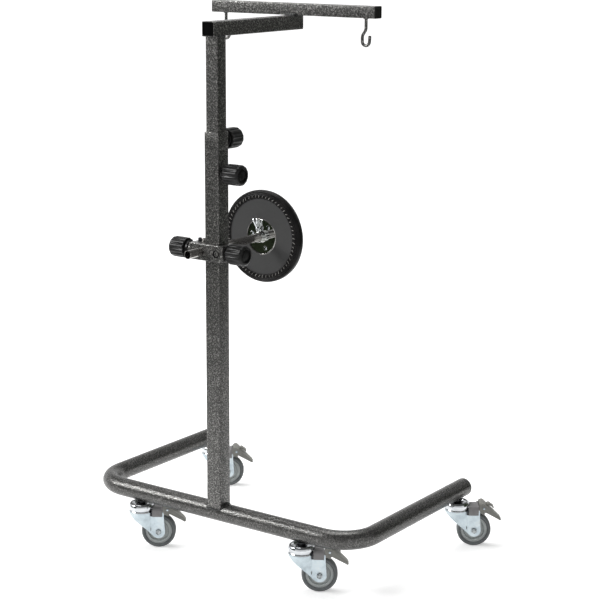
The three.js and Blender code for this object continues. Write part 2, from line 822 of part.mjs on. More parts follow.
function headShape() {
  const radius = headDiameter / 2;
  const bore = stemDiameter / 2 + seatGap;
  const foot = crownTop + seatGap;
  const dish = headDishDiameter / 2;
  const rim = radius - dish;
  const rimTop = headTop + headRimRise;
  return turnedUpright([
    [bore, foot], [radius - forkPlate, foot], [radius, foot + forkPlate],
    [radius, rimTop - rim * 3 / 4], [radius - rim / 6, rimTop - rim / 3],
    [radius - rim / 2, rimTop], [radius - rim * 3 / 4, rimTop], [dish, headTop],
    [bore, headTop], [bore, foot],
  ], headSides);
}

// The side view of the fork: a slanted front edge, a round lobe at the axle, an upright rear
function forkOutline() {
  const front = -forkCrownDiameter / 2;
  const slantLength = Math.hypot(casterTrail - front, crownBottom);
  const lobeStart = Math.PI - Math.atan2(crownBottom, casterTrail - front)
    + Math.acos(forkLobeRadius / slantLength);
  const lobeEnd = 2 * Math.PI + forkLobeEnd * degree;
  const points = [[front, crownTop], [front, crownBottom]];
  for (let i = 0; i <= forkLobeSteps; i += 1) {
    const angle = lobeStart + (lobeEnd - lobeStart) * i / forkLobeSteps;
    points.push([
      casterTrail + forkLobeRadius * Math.cos(angle), forkLobeRadius * Math.sin(angle)]);
  }
  points.push([casterTrail + forkRearLean, hoodBottom], [casterTrail + forkRearLean, crownTop]);
  return points;
}

// A plan section of the fork: round at the crown, with flat sides behind a crease.
// A swell of 1 is fully round, and at 0 the whole side is flat.
function forkRing(radius, halfWidth, rear, level, swell) {
  const crease = Math.asin(halfWidth / radius);
  const ring = [new THREE.Vector3(rear, halfWidth, level)];
  for (let i = 0; i <= forkArcSteps; i += 1) {
    const angle = crease + (2 * Math.PI - 2 * crease) * i / forkArcSteps;
    const x = radius * Math.cos(angle);
    const y = radius * Math.sin(angle);
    const beyond = Math.max(Math.abs(y) - halfWidth, 0) * (1 - swell);
    ring.push(new THREE.Vector3(x, y - Math.sign(y) * beyond, level));
  }
  ring.push(new THREE.Vector3(rear, -halfWidth, level));
  return ring;
}

// The fork is pressed from plate: its sides run from the round crown down to two flat legs
function forkShape() {
  const radius = forkCrownDiameter / 2;
  const rear = casterTrail + wheelRadius;
  const shell = (crown, half, back, bottom, top) => loft([
    forkRing(crown, half, back, bottom, 0), forkRing(crown, half, back, 0, 0),
    forkRing(crown, half, back, top, 1),
  ]);
  const outside = common(shell(radius, forkHalfOuter, rear, -wheelRadius, crownTop),
    slab(forkOutline(), headDiameter));
  const inside = shell(radius - forkPlate, forkHalfInner, rear + cutOverrun,
    -wheelRadius - cutOverrun, crownBottom);
  const wheelWay = slab([
    [radius, -cutOverrun], [rear + cutOverrun, -cutOverrun],
    [rear + cutOverrun, crownTop + cutOverrun], [radius, crownTop + cutOverrun],
  ], forkHalfInner);
  const stemHole = aboutZ(roundBar(stemDiameter / 2 + seatGap, crownBottom - cutOverrun,
    crownTop + cutOverrun, smallSides));
  const axleHole = roundBar(axleDiameter / 2 + seatGap, -headDiameter, headDiameter, smallSides)
    .translate(casterTrail, 0, 0);
  return cut(outside, inside, wheelWay, stemHole, axleHole);
}

function axleShape() {
  const seat = forkHalfOuter + seatGap;
  const radius = axleDiameter / 2;
  return join(
    roundBar(radius, -seat - axleHexHeight / 2, seat + axleHexHeight + forkPlate, pinSides),
    hexBar(axleHexFlats, -seat - axleHexHeight, -seat),
    hexBar(axleHexFlats, seat, seat + axleHexHeight))
    .translate(casterTrail, 0, 0);
}

function hubShape() {
  const bore = axleDiameter / 2 + seatGap;
  const boss = hubBossDiameter / 2;
  const rim = hubDiameter / 2;
  const bossHalf = forkHalfInner - seatGap;
  const webHalf = hubWebWidth / 2;
  const rimHalf = hubRimWidth / 2;
  const rimStep = (rimHalf - webHalf) * 2;
  return turned([
    [bore, -bossHalf], [boss, -bossHalf], [boss, -webHalf], [rim - rimStep, -webHalf],
    [rim, -rimHalf], [rim, rimHalf], [rim - rimStep, webHalf], [boss, webHalf],
    [boss, bossHalf], [bore, bossHalf], [bore, -bossHalf],
  ], hubSides);
}

function tyreShape() {
  const inner = hubDiameter / 2 + seatGap;
  const half = tyreWidth / 2;
  const crown = tyreWidth / 6;
  return turned([
    [inner, -hubRimWidth / 2], [wheelRadius - crown, -half], [wheelRadius, -half + crown],
    [wheelRadius, half - crown], [wheelRadius - crown, half], [inner, hubRimWidth / 2],
    [inner, -hubRimWidth / 2],
  ], wheelSides);
}

// The brake's hood wraps the rear of the fork, and its ears carry the pedal's pin
function brakeHousingShape() {
  const hood = slab([
    [hoodFront, hoodBottom], [hoodFront, hoodTop - hoodRoof], [hoodFront + hoodRoof, hoodTop],
    [hoodRear, hoodTop], [hoodRear, hoodBottom],
  ], hoodHalfOuter);
  const inside = slab([
    [hoodFront - cutOverrun, hoodBottom - cutOverrun], [hoodFront - cutOverrun, hoodTop - hoodRoof],
    [hoodRear + cutOverrun, hoodTop - hoodRoof], [hoodRear + cutOverrun, hoodBottom - cutOverrun],
  ], hoodHalfInner);
  const headWay = aboutZ(roundBar(headDiameter / 2 + 3 * seatGap, crownTop,
    hoodTop + cutOverrun, headSides));
  const ear = slab([
    [hoodRear - hoodRoof, brakePinRise - earRadius], [brakePinReach, brakePinRise - earRadius],
    [brakePinReach + earRadius * Math.SQRT1_2, brakePinRise - earRadius * Math.SQRT1_2],
    [brakePinReach + earRadius, brakePinRise],
    [brakePinReach + earRadius * Math.SQRT1_2, brakePinRise + earRadius * Math.SQRT1_2],
    [brakePinReach, brakePinRise + earRadius], [hoodRear - hoodRoof, brakePinRise + earRadius],
  ], hoodHalfInner + earWall);
  const betweenEars = slab([
    [hoodFront, brakePinRise - 2 * earRadius],
    [brakePinReach + 2 * earRadius, brakePinRise - 2 * earRadius],
    [brakePinReach + 2 * earRadius, brakePinRise + 2 * earRadius],
    [hoodFront, brakePinRise + 2 * earRadius],
  ], hoodHalfInner);
  const pin = roundBar(brakePinDiameter / 2, -hoodHalfOuter - seatGap,
    hoodHalfOuter + seatGap, pinSides).translate(brakePinReach, 0, brakePinRise);
  return join(cut(hood, inside, headWay), cut(ear, betweenEars), pin);
}

// The pedal is a channel with a peak over the pin, a long blade, a release tab on its back
// and a shoe that turns towards the tyre. Its side view is given in shares of its reach behind
// the hood and of the peak's height.
const pedalOutlineShares = {
  heel: [[0.093, 0.63], [0.024, 0.78], [0.018, 0.955]],
  peak: [[0.143, 1], [0.225, 0.986]],
  tip: [[0.938, 0.45], [1, 0.36], [0.956, 0.33]],
  throat: [[0.298, 0.675], [0.238, 0.63]],
};
const pedalTabShares = [
  [0.33, 0.87], [0.37, 0.95], [0.455, 0.968], [0.655, 0.847], [0.673, 0.76], [0.62, 0.785],
  [0.59, 0.825], [0.46, 0.885], [0.4, 0.84],
];

function brakePedalShape() {
  const place = ([along, up]) => [
    hoodRear + along * (pedalReach - hoodRear), up * pedalPeakRise];
  const side = Object.fromEntries(Object.entries(pedalOutlineShares)
    .map(([name, shares]) => [name, shares.map(place)]));
  const shell = slab([...side.heel, ...side.peak, ...side.tip, ...side.throat], hoodHalfOuter);
  const slant = pedalSkin * Math.SQRT2;
  const [heelX, heelTop] = side.heel[2];
  const [peakX, peakTop] = side.peak[0];
  const [bendX, bendTop] = side.peak[1];
  const [bladeX, bladeTop] = side.tip[0];
  const channel = slab([
    [hoodRear - cutOverrun, -cutOverrun], [hoodRear - cutOverrun, heelTop - pedalSkin],
    [heelX, heelTop - pedalSkin], [peakX, peakTop - pedalSkin],
    [bendX + bendTop - peakTop - slant + pedalSkin, peakTop - pedalSkin],
    [bladeX - slant, bladeTop], [bladeX - slant, -cutOverrun],
  ], hoodHalfInner + earWall + seatGap);
  const toAxle = Math.atan2(-brakePinRise, casterTrail - brakePinReach);
  const onShoe = (angle) => [
    brakePinReach + brakeShoeRadius * Math.cos(toAxle + angle * degree),
    brakePinRise + brakeShoeRadius * Math.sin(toAxle + angle * degree)];
  const core = slab([
    onShoe(brakeShoeStart), onShoe(brakeShoeEnd),
    [brakePinReach + brakePinDiameter, brakePinRise],
    [brakePinReach + brakePinDiameter / 2, bendTop - slant],
    [brakePinReach - brakePinDiameter, bendTop - slant / 2],
    [brakePinReach - brakePinDiameter, brakePinRise],
  ], brakeShoeHalfWidth);
  const tab = slab(pedalTabShares.map(place), tabHalfWidth);
  const pinHole = roundBar(brakePinDiameter / 2 + seatGap, -hoodHalfOuter - cutOverrun,
    hoodHalfOuter + cutOverrun, pinSides).translate(brakePinReach, 0, brakePinRise);
  return cut(join(cut(shell, channel), core, tab), pinHole);
}

function caster(place, [x, y]) {
  const group = new THREE.Group();
  group.position.set(x, y, wheelRadius);
  group.rotation.z = casterHeading * degree;
  stand.add(group);
  piece(`${place}_stem`, stemShape(), blackSteel, group);
  piece(`${place}_head`, headShape(), chrome, group);
  piece(`${place}_fork`, forkShape(), zincPlate, group);
  piece(`${place}_axle`, axleShape(), zincPlate, group);
  piece(`${place}_hub`, hubShape(), hubGrey, group).position.x = casterTrail;
  piece(`${place}_tyre`, tyreShape(), tyreGrey, group).position.x = casterTrail;
  piece(`${place}_brake_housing`, brakeHousingShape(), brakeGrey, group);
  piece(`${place}_brake_pedal`, brakePedalShape(), brakeGrey, group);
}

Object.entries(casterPlaces).forEach(([place, spot]) => caster(place, spot));

// Moves the stand so that its box's middle is over the origin and its wheels rest on z = 0
const box = new THREE.Box3().setFromObject(stand, true);
const middle = box.getCenter(new THREE.Vector3());
stand.position.set(-middle.x, -middle.y, -box.min.z);

export default stand;
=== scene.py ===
import json
import math
import random

import bmesh
import bpy
from mathutils import Matrix, Vector


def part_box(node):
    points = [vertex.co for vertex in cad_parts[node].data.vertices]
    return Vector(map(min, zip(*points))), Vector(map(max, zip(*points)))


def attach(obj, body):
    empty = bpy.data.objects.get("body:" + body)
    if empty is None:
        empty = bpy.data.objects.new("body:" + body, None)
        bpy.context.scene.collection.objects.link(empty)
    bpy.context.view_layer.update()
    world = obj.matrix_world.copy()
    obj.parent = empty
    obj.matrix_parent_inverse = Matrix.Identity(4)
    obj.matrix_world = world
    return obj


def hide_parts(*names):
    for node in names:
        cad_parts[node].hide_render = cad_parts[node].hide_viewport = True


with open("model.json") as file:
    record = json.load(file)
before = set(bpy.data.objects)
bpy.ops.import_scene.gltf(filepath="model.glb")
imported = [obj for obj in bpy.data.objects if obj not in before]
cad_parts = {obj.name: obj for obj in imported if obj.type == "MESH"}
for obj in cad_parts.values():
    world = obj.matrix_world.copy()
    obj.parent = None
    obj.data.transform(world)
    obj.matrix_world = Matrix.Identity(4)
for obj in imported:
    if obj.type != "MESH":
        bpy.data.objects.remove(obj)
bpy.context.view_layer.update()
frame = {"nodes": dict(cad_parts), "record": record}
random.seed(7)

# Places and sizes in millimetres, from the post's axis on the floor: +Z up, arms towards +Y

low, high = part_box("lower_post")
POST = Vector(((low.x + high.x) / 2, (low.y + high.y) / 2, 0.0)) * 1000

BASE_LEVEL = 134.0      # base tube's axis
BASE_RADIUS = 21.2
ARM_X = 366             # axis of each arm of the base
ARM_END = 471
BEND = 80               # radius of the base's two corners
LOWER_POST = 38
UPPER_POST = 32         # and the cantilever
CROSSBAR = 27
POST_TOP = 960.0        # top of the lower post
HEIGHT_KNOB = 908.0
COLLAR_KNOB = 979.3
CLAMP = 733.0           # middle of the damper clamp
CANTILEVER = 1203.0     # underside of the cantilever
BAR = 1235.0            # underside of the crossbar
BAR_Y = 288.0
BAR_END = 225
HOOK_X = 195
ROD_X = -31.0           # damper rod, beside the post
AXLE = 40.0             # wheel's radius
TRAIL = 40              # from a caster's swivel axis to its axle
PIN_X = 62              # brake pedal's pin, from the swivel axis
PIN_RISE = 55           # and above the axle
HEADING = math.radians(35)
CASTERS = {
    "back_left": (-230, 0), "back_right": (230, 0),
    "front_left": (-ARM_X, 443), "front_right": (ARM_X, 443),
}


def shift(x=0.0, y=0.0, z=0.0):
    return Matrix.Translation((x, y, z))


def turn(degrees, axis):
    return Matrix.Rotation(math.radians(degrees), 4, axis)


# Turns that lay a piece written along +Z another way
TO_RIGHT = turn(90, "Y")
TO_LEFT = turn(-90, "Y")
TO_FRONT = turn(-90, "X")
TO_BACK = turn(90, "X")


# Forms

NEARLY_STRAIGHT = math.pi - 0.02
POLE = 1e-6             # a smaller radius is a single point on the axis


class Form:
    """Points in millimetres and the faces between them."""

    def __init__(self, points, faces):
        self.points = [Vector(p) for p in points]
        self.faces = [list(f) for f in faces]

    def at(self, matrix):
        return Form([matrix @ p for p in self.points], self.faces)

    def __add__(self, other):
        count = len(self.points)
        return Form(self.points + other.points,
                    self.faces + [[i + count for i in f] for f in other.faces])


def each(value, count):
    """A list as it is, or one number repeated."""
    return list(value) if hasattr(value, "__len__") else [value] * count


def rounded(points, radii, steps=4):
    """A closed outline with its corners turned into arcs."""
    points = [Vector(p).to_2d() for p in points]
    count = len(points)
    out = []
    for i, (p, r) in enumerate(zip(points, each(radii, count))):
        a = points[i - 1] - p
        b = points[(i + 1) % count] - p
        angle = a.angle(b)
        if r == 0 or angle > NEARLY_STRAIGHT:
            out.append(p)
            continue
        reach = min(r / math.tan(angle / 2), 0.49 * a.length, 0.49 * b.length)
        r = reach * math.tan(angle / 2)
        u, v = a.normalized(), b.normalized()
        centre = p + (u + v).normalized() * (r / math.sin(angle / 2))
        start, end = p + u * reach - centre, p + v * reach - centre
        first = math.atan2(start.y, start.x)
        swing = math.atan2(end.y, end.x) - first
        swing = (swing + math.pi) % (2 * math.pi) - math.pi
        for k in range(steps + 1):
            t = first + swing * k / steps
            out.append(centre + Vector((math.cos(t), math.sin(t))) * r)
    return out


def square(size, corner, steps=5, depth=None):
    half, other = size / 2, (depth or size) / 2
    return rounded([(half, -other), (half, other), (-half, other), (-half, -other)], corner, steps)


def arc(centre, radius, first, last, steps, level=0.0):
    """Points round a centre, from one angle in degrees to another."""
    out = []
    for k in range(steps + 1):
        t = math.radians(first + (last - first) * k / steps)
        out.append(Vector((centre[0] + radius * math.cos(t), centre[1] + radius * math.sin(t),
                           level)))
    return out


def revolve(profile, sides=48, closed=False, vary=None):
    """A surface of revolution about Z from (radius, level) rows.

    vary(row, angle) may give a row another radius and level at each angle.
    """
    points, rings, faces = [], [], []
    for row in profile:
        r, z = row[:2]
        if r < POLE:
            rings.append([len(points)])
            points.append((0, 0, z))
            continue
        rings.append(list(range(len(points), len(points) + sides)))
        for i in range(sides):
            t = 2 * math.pi * i / sides
            if vary:
                r, z = vary(row, t)
            points.append((r * math.cos(t), r * math.sin(t), z))
    pairs = list(zip(rings, rings[1:] + rings[:1]))[:None if closed else -1]
    for below, above in pairs:
        for i in range(sides):
            k = (i + 1) % sides
            face = [below[i % len(below)], below[k % len(below)],
                    above[k % len(above)], above[i % len(above)]]
            face = list(dict.fromkeys(face))
            if len(face) > 2:
                faces.append(face)
    return Form(points, faces)


def mirrored(profile, **options):
    """A closed ring from half a section, given as (radius, half width) rows."""
    section = [(r, -w) for r, w in profile] + [(r, w) for r, w in reversed(profile)]
    return revolve(section, closed=True, **options)


def round_bar(radius, below, above, sides=32):
    """A plain round bar along Z."""
    return revolve([(0, below), (radius, below), (radius, above), (0, above)], sides)


def loft(rings, closed=False):
    """A skin over rings of equal point count, with flat ends unless it is closed."""
    count = len(rings[0])
    total = len(rings)
    faces = []
    for r in range(total if closed else total - 1):
        a, b = r * count, (r + 1) % total * count
        for i in range(count):
            k = (i + 1) % count
            faces.append([a + i, a + k, b + k, b + i])
    if not closed:
        faces.append(list(range(count))[::-1])
        faces.append(list(range((total - 1) * count, total * count)))
    return Form([p for ring in rings for p in ring], faces)


def prism(outline, below, above):
    """An outline in X and Y made a slab between two levels."""
    return loft([[(p[0], p[1], z) for p in outline] for z in (below, above)])


def slab(outline, start, thickness):
    """An outline in X and Z made a slab across Y."""
    return loft([[(p[0], y, p[1]) for p in outline] for y in (start, start + thickness)])


def upright(outline, half):
    """An outline in X and Z made a slab as thick on both sides of the middle."""
    return slab(outline, half, -2 * half)


def square_tube(size, corner, wall, below, above):
    """A square tube along Z. below may be a function that gives the lower edge's level at a Y."""
    lower = below if callable(below) else (lambda y: below)
    rings = []
    for outline in (square(size, corner), square(size - 2 * wall, max(corner - wall, 0.4))):
        rings.append([(p.x, p.y, lower(p.y)) for p in outline])
        rings.append([(p.x, p.y, above) for p in outline])
    outer_foot, outer_top, inner_foot, inner_top = rings
    return loft([outer_foot, outer_top, inner_top, inner_foot], closed=True)


def rings_along(path, radius, sides):
    """Round sections along a path of points. radius may be a number or one for each point."""
    path = [Vector(p) for p in path]
    tangents = []
    for i in range(len(path)):
        a, b = path[max(i - 1, 0)], path[min(i + 1, len(path) - 1)]
        tangents.append((b - a).normalized())
    side = tangents[0].orthogonal().normalized()
    rings = []
    for i, (p, t, r) in enumerate(zip(path, tangents, each(radius, len(path)))):
        if i:
            side = tangents[i - 1].rotation_difference(t) @ side
            side = (side - t * side.dot(t)).normalized()
        other = t.cross(side)
        rings.append([p + (side * math.cos(a) + other * math.sin(a)) * r
                      for a in (2 * math.pi * k / sides for k in range(sides))])
    return rings


def sweep(path, radius, sides=16):
    return loft(rings_along(path, radius, sides))


def tube(path, radius, wall, sides):
    outer = rings_along(path, radius, sides)
    inner = rings_along(path, radius - wall, sides)
    return loft(outer + inner[::-1], closed=True)


def bead(path, radius=2.4, ripple=0.35, pitch=3.0):
    """A weld along a path: a low rippled rope, thinner at its two ends."""
    per_ripple = 3
    path = [Vector(p) for p in path]
    fine = []
    for a, b in zip(path, path[1:]):
        steps = max(1, round((b - a).length / (pitch / per_ripple)))
        fine += [a.lerp(b, k / steps) for k in range(steps)]
    fine.append(path[-1])
    radii = []
    for i in range(len(fine)):
        end = min(1.0, 0.45 + 0.3 * min(i, len(fine) - 1 - i))
        wave = ripple * math.sin(i * 2 * math.pi / per_ripple)
        radii.append((radius + wave + random.uniform(-0.2, 0.2)) * end)
    return sweep(fine, radii, 10)


def polar_ring(radius_at, z, sides):
    """A ring at one level whose radius depends on the angle."""
    out = []
    for i in range(sides):
        t = 2 * math.pi * i / sides
        r = radius_at(t)
        out.append((r * math.cos(t), r * math.sin(t), z))
    return out


def hex_bar(flats, below, above, chamfer):
    """A hexagonal bar along Z with its corners turned down at the upper end."""
    corner = flats / 2 / math.cos(math.pi / 6)

    def ring(limit, z):
        def radius_at(t):
            from_flat = (t + math.pi / 6) % (math.pi / 3) - math.pi / 6
            return min(flats / 2 / math.cos(from_flat), limit)
        return polar_ring(radius_at, z, 36)

    return loft([ring(corner, below),
                 ring(corner, above - chamfer * 1.6),
                 ring(corner - chamfer * 0.7, above - chamfer * 0.7),
                 ring(flats / 2 - 0.1, above)])


# Pieces

def add_object(name, data):
    obj = bpy.data.objects.new(name, data)
    bpy.context.scene.collection.objects.link(obj)
    return obj


def smooth(obj, angle=30.0):
    obj.data.shade_smooth()
    obj.data.set_sharp_from_angle(angle=math.radians(angle))


def to_object(name, form, bevel=0.0, segments=2, angle=30.0, bevel_angle=32.0):
    mesh = bpy.data.meshes.new(name)
    mesh.from_pydata([p / 1000 for p in form.points], [], form.faces)
    work = bmesh.new()
    work.from_mesh(mesh)
    bmesh.ops.remove_doubles(work, verts=work.verts, dist=1e-6)
    bmesh.ops.recalc_face_normals(work, faces=work.faces)
    if bevel:
        edges = [e for e in work.edges if len(e.link_faces) == 2
                 and e.calc_face_angle(0) > math.radians(bevel_angle)]
        bmesh.ops.bevel(work, geom=edges, offset=bevel / 1000, segments=segments, profile=0.6,
                        affect="EDGES", clamp_overlap=True)
    work.to_mesh(mesh)
    work.free()
    obj = add_object(name, mesh)
    smooth(obj, angle)
    return obj


def combine(obj, form, operation):
    """Changes a piece by a form, with a boolean that is baked in."""
    tool = to_object("tool", form)
    modifier = obj.modifiers.new("combine", "BOOLEAN")
    modifier.operation = operation
    modifier.solver = "EXACT"
    modifier.object = tool
    bpy.context.view_layer.update()
    evaluated = obj.evaluated_get(bpy.context.evaluated_depsgraph_get())
    result = bpy.data.meshes.new_from_object(evaluated)
    obj.modifiers.clear()
    obj.data = result
    bpy.data.objects.remove(tool)


def carve(obj, *forms):
    for form in forms:
        combine(obj, form, "DIFFERENCE")


def merge_points(obj):
    """Joins the points that cuts leave on top of one another."""
    work = bmesh.new()
    work.from_mesh(obj.data)
    bmesh.ops.remove_doubles(work, verts=work.verts, dist=2e-6)
    work.to_mesh(obj.data)
    work.free()


def piece(name, form, material, body, slot, stands_for=(), place=None, **shape):
    """A finished piece. place is its matrix in millimetres from the post's axis on the floor."""
    if isinstance(form, Form):
        obj = to_object(name, form, **shape)
    else:
        obj = add_object(name, form.data.copy())
    matrix = Matrix.Translation(POST) @ (place or Matrix.Identity(4))
    matrix.translation /= 1000
    obj.data.transform(matrix)
    obj.data.materials.clear()
    obj.data.materials.append(material)
    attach(obj, body)
    nodes = [stands_for] if isinstance(stands_for, str) else stands_for
    if nodes:
        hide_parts(*nodes)
    return obj


# Materials

NOISE_SPAN = (0.3, 0.7)     # where most of a noise's values lie
MIX_COLOURS = (6, 7)        # the colour inputs of a Mix node


class Nodes:
    """Shorthands for building a node tree."""

    def __init__(self, tree):
        self.tree = tree

    def node(self, kind, inputs=(), **settings):
        made = self.tree.nodes.new("ShaderNode" + kind)
        for key, value in settings.items():
            setattr(made, key, value)
        for key, value in dict(inputs).items():
            self.feed(made.inputs[key], value)
        return made

    def feed(self, socket, value):
        if isinstance(value, bpy.types.NodeSocket):
            self.tree.links.new(value, socket)
        else:
            socket.default_value = value

    def maths(self, operation, a, b):
        return self.node("Math", {0: a, 1: b}, operation=operation).outputs[0]

    def remap(self, factor, low, high, first, last):
        return self.node("MapRange", {
            "Value": factor, "From Min": low, "From Max": high, "To Min": first, "To Max": last,
        }).outputs["Result"]

    def seen(self):
        """1 for what the camera sees directly, mirrored or through something clear, else 0."""
        path = self.node("LightPath").outputs
        direct = self.maths("MAXIMUM", path["Is Camera Ray"], path["Is Glossy Ray"])
        return self.maths("MAXIMUM", direct, path["Is Transmission Ray"])


class Finish(Nodes):
    """A procedural material."""

    def __init__(self, name, rough=0.5, metal=0.0, specular=0.5):
        self.material = bpy.data.materials.new(name)
        self.material.use_nodes = True
        super().__init__(self.material.node_tree)
        self.shader = self.tree.nodes["Principled BSDF"]
        uniform = {"Roughness": rough, "Metallic": metal, "Specular IOR Level": specular}
        for key, value in uniform.items():
            self.shader.inputs[key].default_value = value
        self.coords = self.node("TexCoord").outputs["Object"]

    def noise(self, scale, detail=2.0, rough=0.5, vector=None):
        return self.node("TexNoise", {
            "Vector": vector or self.coords, "Scale": scale, "Detail": detail, "Roughness": rough,
        }).outputs["Fac"]

    def cells(self, scale, vector=None):
        inputs = {"Vector": vector or self.coords, "Scale": scale}
        return self.node("TexVoronoi", inputs, feature="SMOOTH_F1").outputs["Distance"]

    def ramp(self, factor, *stops):
        made = self.node("ValToRGB", {"Fac": factor})
        ramp = made.color_ramp
        while len(ramp.elements) < len(stops):
            ramp.elements.new(0.5)
        for element, (position, colour) in zip(ramp.elements, stops):
            element.position = position
            element.color = (*each(colour, 3), 1)
        return made.outputs["Color"]

    def mix(self, factor, a, b, how="MIX"):
        made = self.node("Mix", {0: factor}, data_type="RGBA", blend_type=how)
        for index, value in zip(MIX_COLOURS, (a, b)):
            is_socket = isinstance(value, bpy.types.NodeSocket)
            self.feed(made.inputs[index], value if is_socket else (*value, 1))
        return made.outputs[2]

    def tones(self, factor, dark, pale):
        """A colour that drifts between two as a noise does."""
        return self.ramp(factor, *zip(NOISE_SPAN, (dark, pale)))

    def drift(self, factor, first, last):
        """A number that drifts between two as a noise does."""
        return self.remap(factor, *NOISE_SPAN, first, last)

    def colour(self, value):
        self.feed(self.shader.inputs["Base Color"], value)

    def rough(self, value):
        self.feed(self.shader.inputs["Roughness"], value)

    def bump(self, *layers):
        """Relief from (height, strength, distance in millimetres) rows."""
        normal = None
        for height, strength, distance in layers:
            made = self.node("Bump", {"Height": height, "Strength": strength,
                                      "Distance": distance / 1000})
            if normal:
                self.feed(made.inputs["Normal"], normal)
            normal = made.outputs["Normal"]
        self.feed(self.shader.inputs["Normal"], normal)


def hammertone_paint(name, floor, middle, rim, grains):
    """Dark grey paint beaten into dimples of 2 to 3 mm, their rims lighter than their floors."""
    f = Finish(name, metal=0.6)
    wander = f.node("TexNoise", {"Vector": f.coords, "Scale": 260.0}).outputs["Color"]
    push = f.node("VectorMath", {0: wander, 3: 0.0014}, operation="SCALE").outputs[0]
    bent = f.node("VectorMath", {0: f.coords, 1: push}, operation="ADD").outputs[0]
    dimples = f.cells(400.0, vector=bent)
    grain = f.noise(520.0, 2.0, 0.6, vector=bent)
    shade = f.ramp(dimples, (0.12, floor), (0.40, middle), (0.70, rim))
    light = f.ramp(grain, (0.40, grains[0]), (0.60, grains[1]))
    tone = f.mix(1.0, shade, light, "MULTIPLY")
    fade = f.remap(f.noise(14.0), 0.35, 0.65, 0.0, 0.15)
    f.colour(f.mix(fade, tone, (0.085, 0.085, 0.083)))
    f.rough(f.drift(grain, 0.36, 0.2))
    f.bump((dimples, 0.9, 0.6), (f.noise(90.0, 1.0), 0.2, 0.4))
    return f.material


def shaded_weld_paint():
    """The same paint run thick over a weld, smoother than on the tubes; its darker colour is
    painted shade and painted dark reflection.
    """
    f = Finish("shaded_weld_paint", metal=0.6)
    lumps = f.noise(260.0, 2.0, 0.6)
    f.colour(f.ramp(lumps, (0.40, (0.018, 0.019, 0.019)), (0.66, (0.10, 0.10, 0.098))))
    f.rough(f.drift(lumps, 0.3, 0.16))
    f.bump((lumps, 0.5, 0.5))
    return f.material


# Black plastic made darker and less shiny than the rest, almost pure black: painted shade on the
# cantilever's caps and at the clamp's pocket
def shade_black_plastic():
    f = Finish("shade_black_plastic", specular=0.02)
    f.colour(f.tones(f.noise(60.0, 3.0), 0.002, 0.005))
    f.rough(f.drift(f.noise(90.0), 0.4, 0.55))
    f.bump((f.noise(700.0), 0.1, 0.1))
    return f.material


def black_plastic():
    f = Finish("black_plastic", specular=0.28)
    f.colour(f.tones(f.noise(40.0, 3.0), 0.006, 0.013))
    f.rough(f.drift(f.noise(70.0, 3.0), 0.28, 0.42))
    f.bump((f.noise(900.0), 0.06, 0.08))
    return f.material


def zinc_plate():
    f = Finish("zinc_plate", metal=0.85)
    cloud = f.noise(45.0, 4.0, 0.6)
    f.colour(f.ramp(cloud, (0.3, (0.42, 0.49, 0.53)), (0.55, (0.58, 0.66, 0.70)),
                    (0.75, (0.66, 0.71, 0.72))))
    f.rough(f.drift(cloud, 0.28, 0.42))
    f.bump((f.noise(700.0), 0.08, 0.1), (f.noise(90.0), 0.12, 0.2))
    return f.material


# Zinc darker than the fork's, in dark and pale blotches: painted dark reflection on the axle bolt
def zinc_painted_dark():
    f = Finish("zinc_painted_dark", metal=1.0)
    cloud = f.noise(220.0, 3.0, 0.6)
    f.colour(f.ramp(cloud, (0.35, (0.10, 0.11, 0.115)), (0.65, (0.42, 0.45, 0.46))))
    f.rough(f.drift(cloud, 0.16, 0.3))
    f.bump((cloud, 0.1, 0.1))
    return f.material


def polished(name, scale, dark, pale, gloss, waves, depth):
    """Bright metal with a faint cloud in it and long low waves."""
    f = Finish(name, metal=1.0)
    cloud = f.noise(scale, 3.0)
    f.colour(f.tones(cloud, dark, pale))
    f.rough(f.drift(cloud, *gloss))
    f.bump((f.noise(waves, 1.0), 0.02, depth))
    return f.material


def black_steel():
    f = Finish("black_steel", metal=0.9)
    cloud = f.noise(160.0, 3.0)
    f.colour(f.tones(cloud, (0.018, 0.019, 0.022), (0.07, 0.07, 0.075)))
    f.rough(f.drift(cloud, 0.22, 0.4))
    f.bump((cloud, 0.1, 0.1))
    return f.material


def turned_steel():
    """Steel with faint lines that run the damper rod's way."""
    f = Finish("turned_steel", metal=0.95)
    along = f.node("Mapping", {"Vector": f.coords, "Scale": (3, 0.1, 3)}).outputs["Vector"]
    lines = f.noise(90.0, vector=along)
    f.colour(f.tones(lines, (0.36, 0.345, 0.33), (0.44, 0.425, 0.41)))
    f.rough(f.drift(lines, 0.14, 0.22))
    f.bump((lines, 0.01, 0.05))
    return f.material


def moulded(name, dark, pale, rough, grain=500.0, strength=0.15):
    """Plastic, rubber or stitching between two tones, with a fine grain; the stitching's pale
    tones are partly painted glints.
    """
    f = Finish(name)
    cloud = f.noise(35.0, 4.0, 0.6)
    f.colour(f.tones(cloud, dark, pale))
    f.rough(f.drift(cloud, rough - 0.06, rough + 0.08))
    f.bump((f.noise(grain), strength, 0.12))
    return f.material


def leatherette():
    f = Finish("leatherette", specular=0.1)
    cloud = f.noise(30.0, 4.0)
    f.colour(f.tones(cloud, 0.009, (0.020, 0.019, 0.019)))
    f.rough(f.drift(cloud, 0.2, 0.34))
    f.bump((f.cells(900.0), 0.2, 0.12), (f.noise(80.0), 0.15, 0.4))
    return f.material


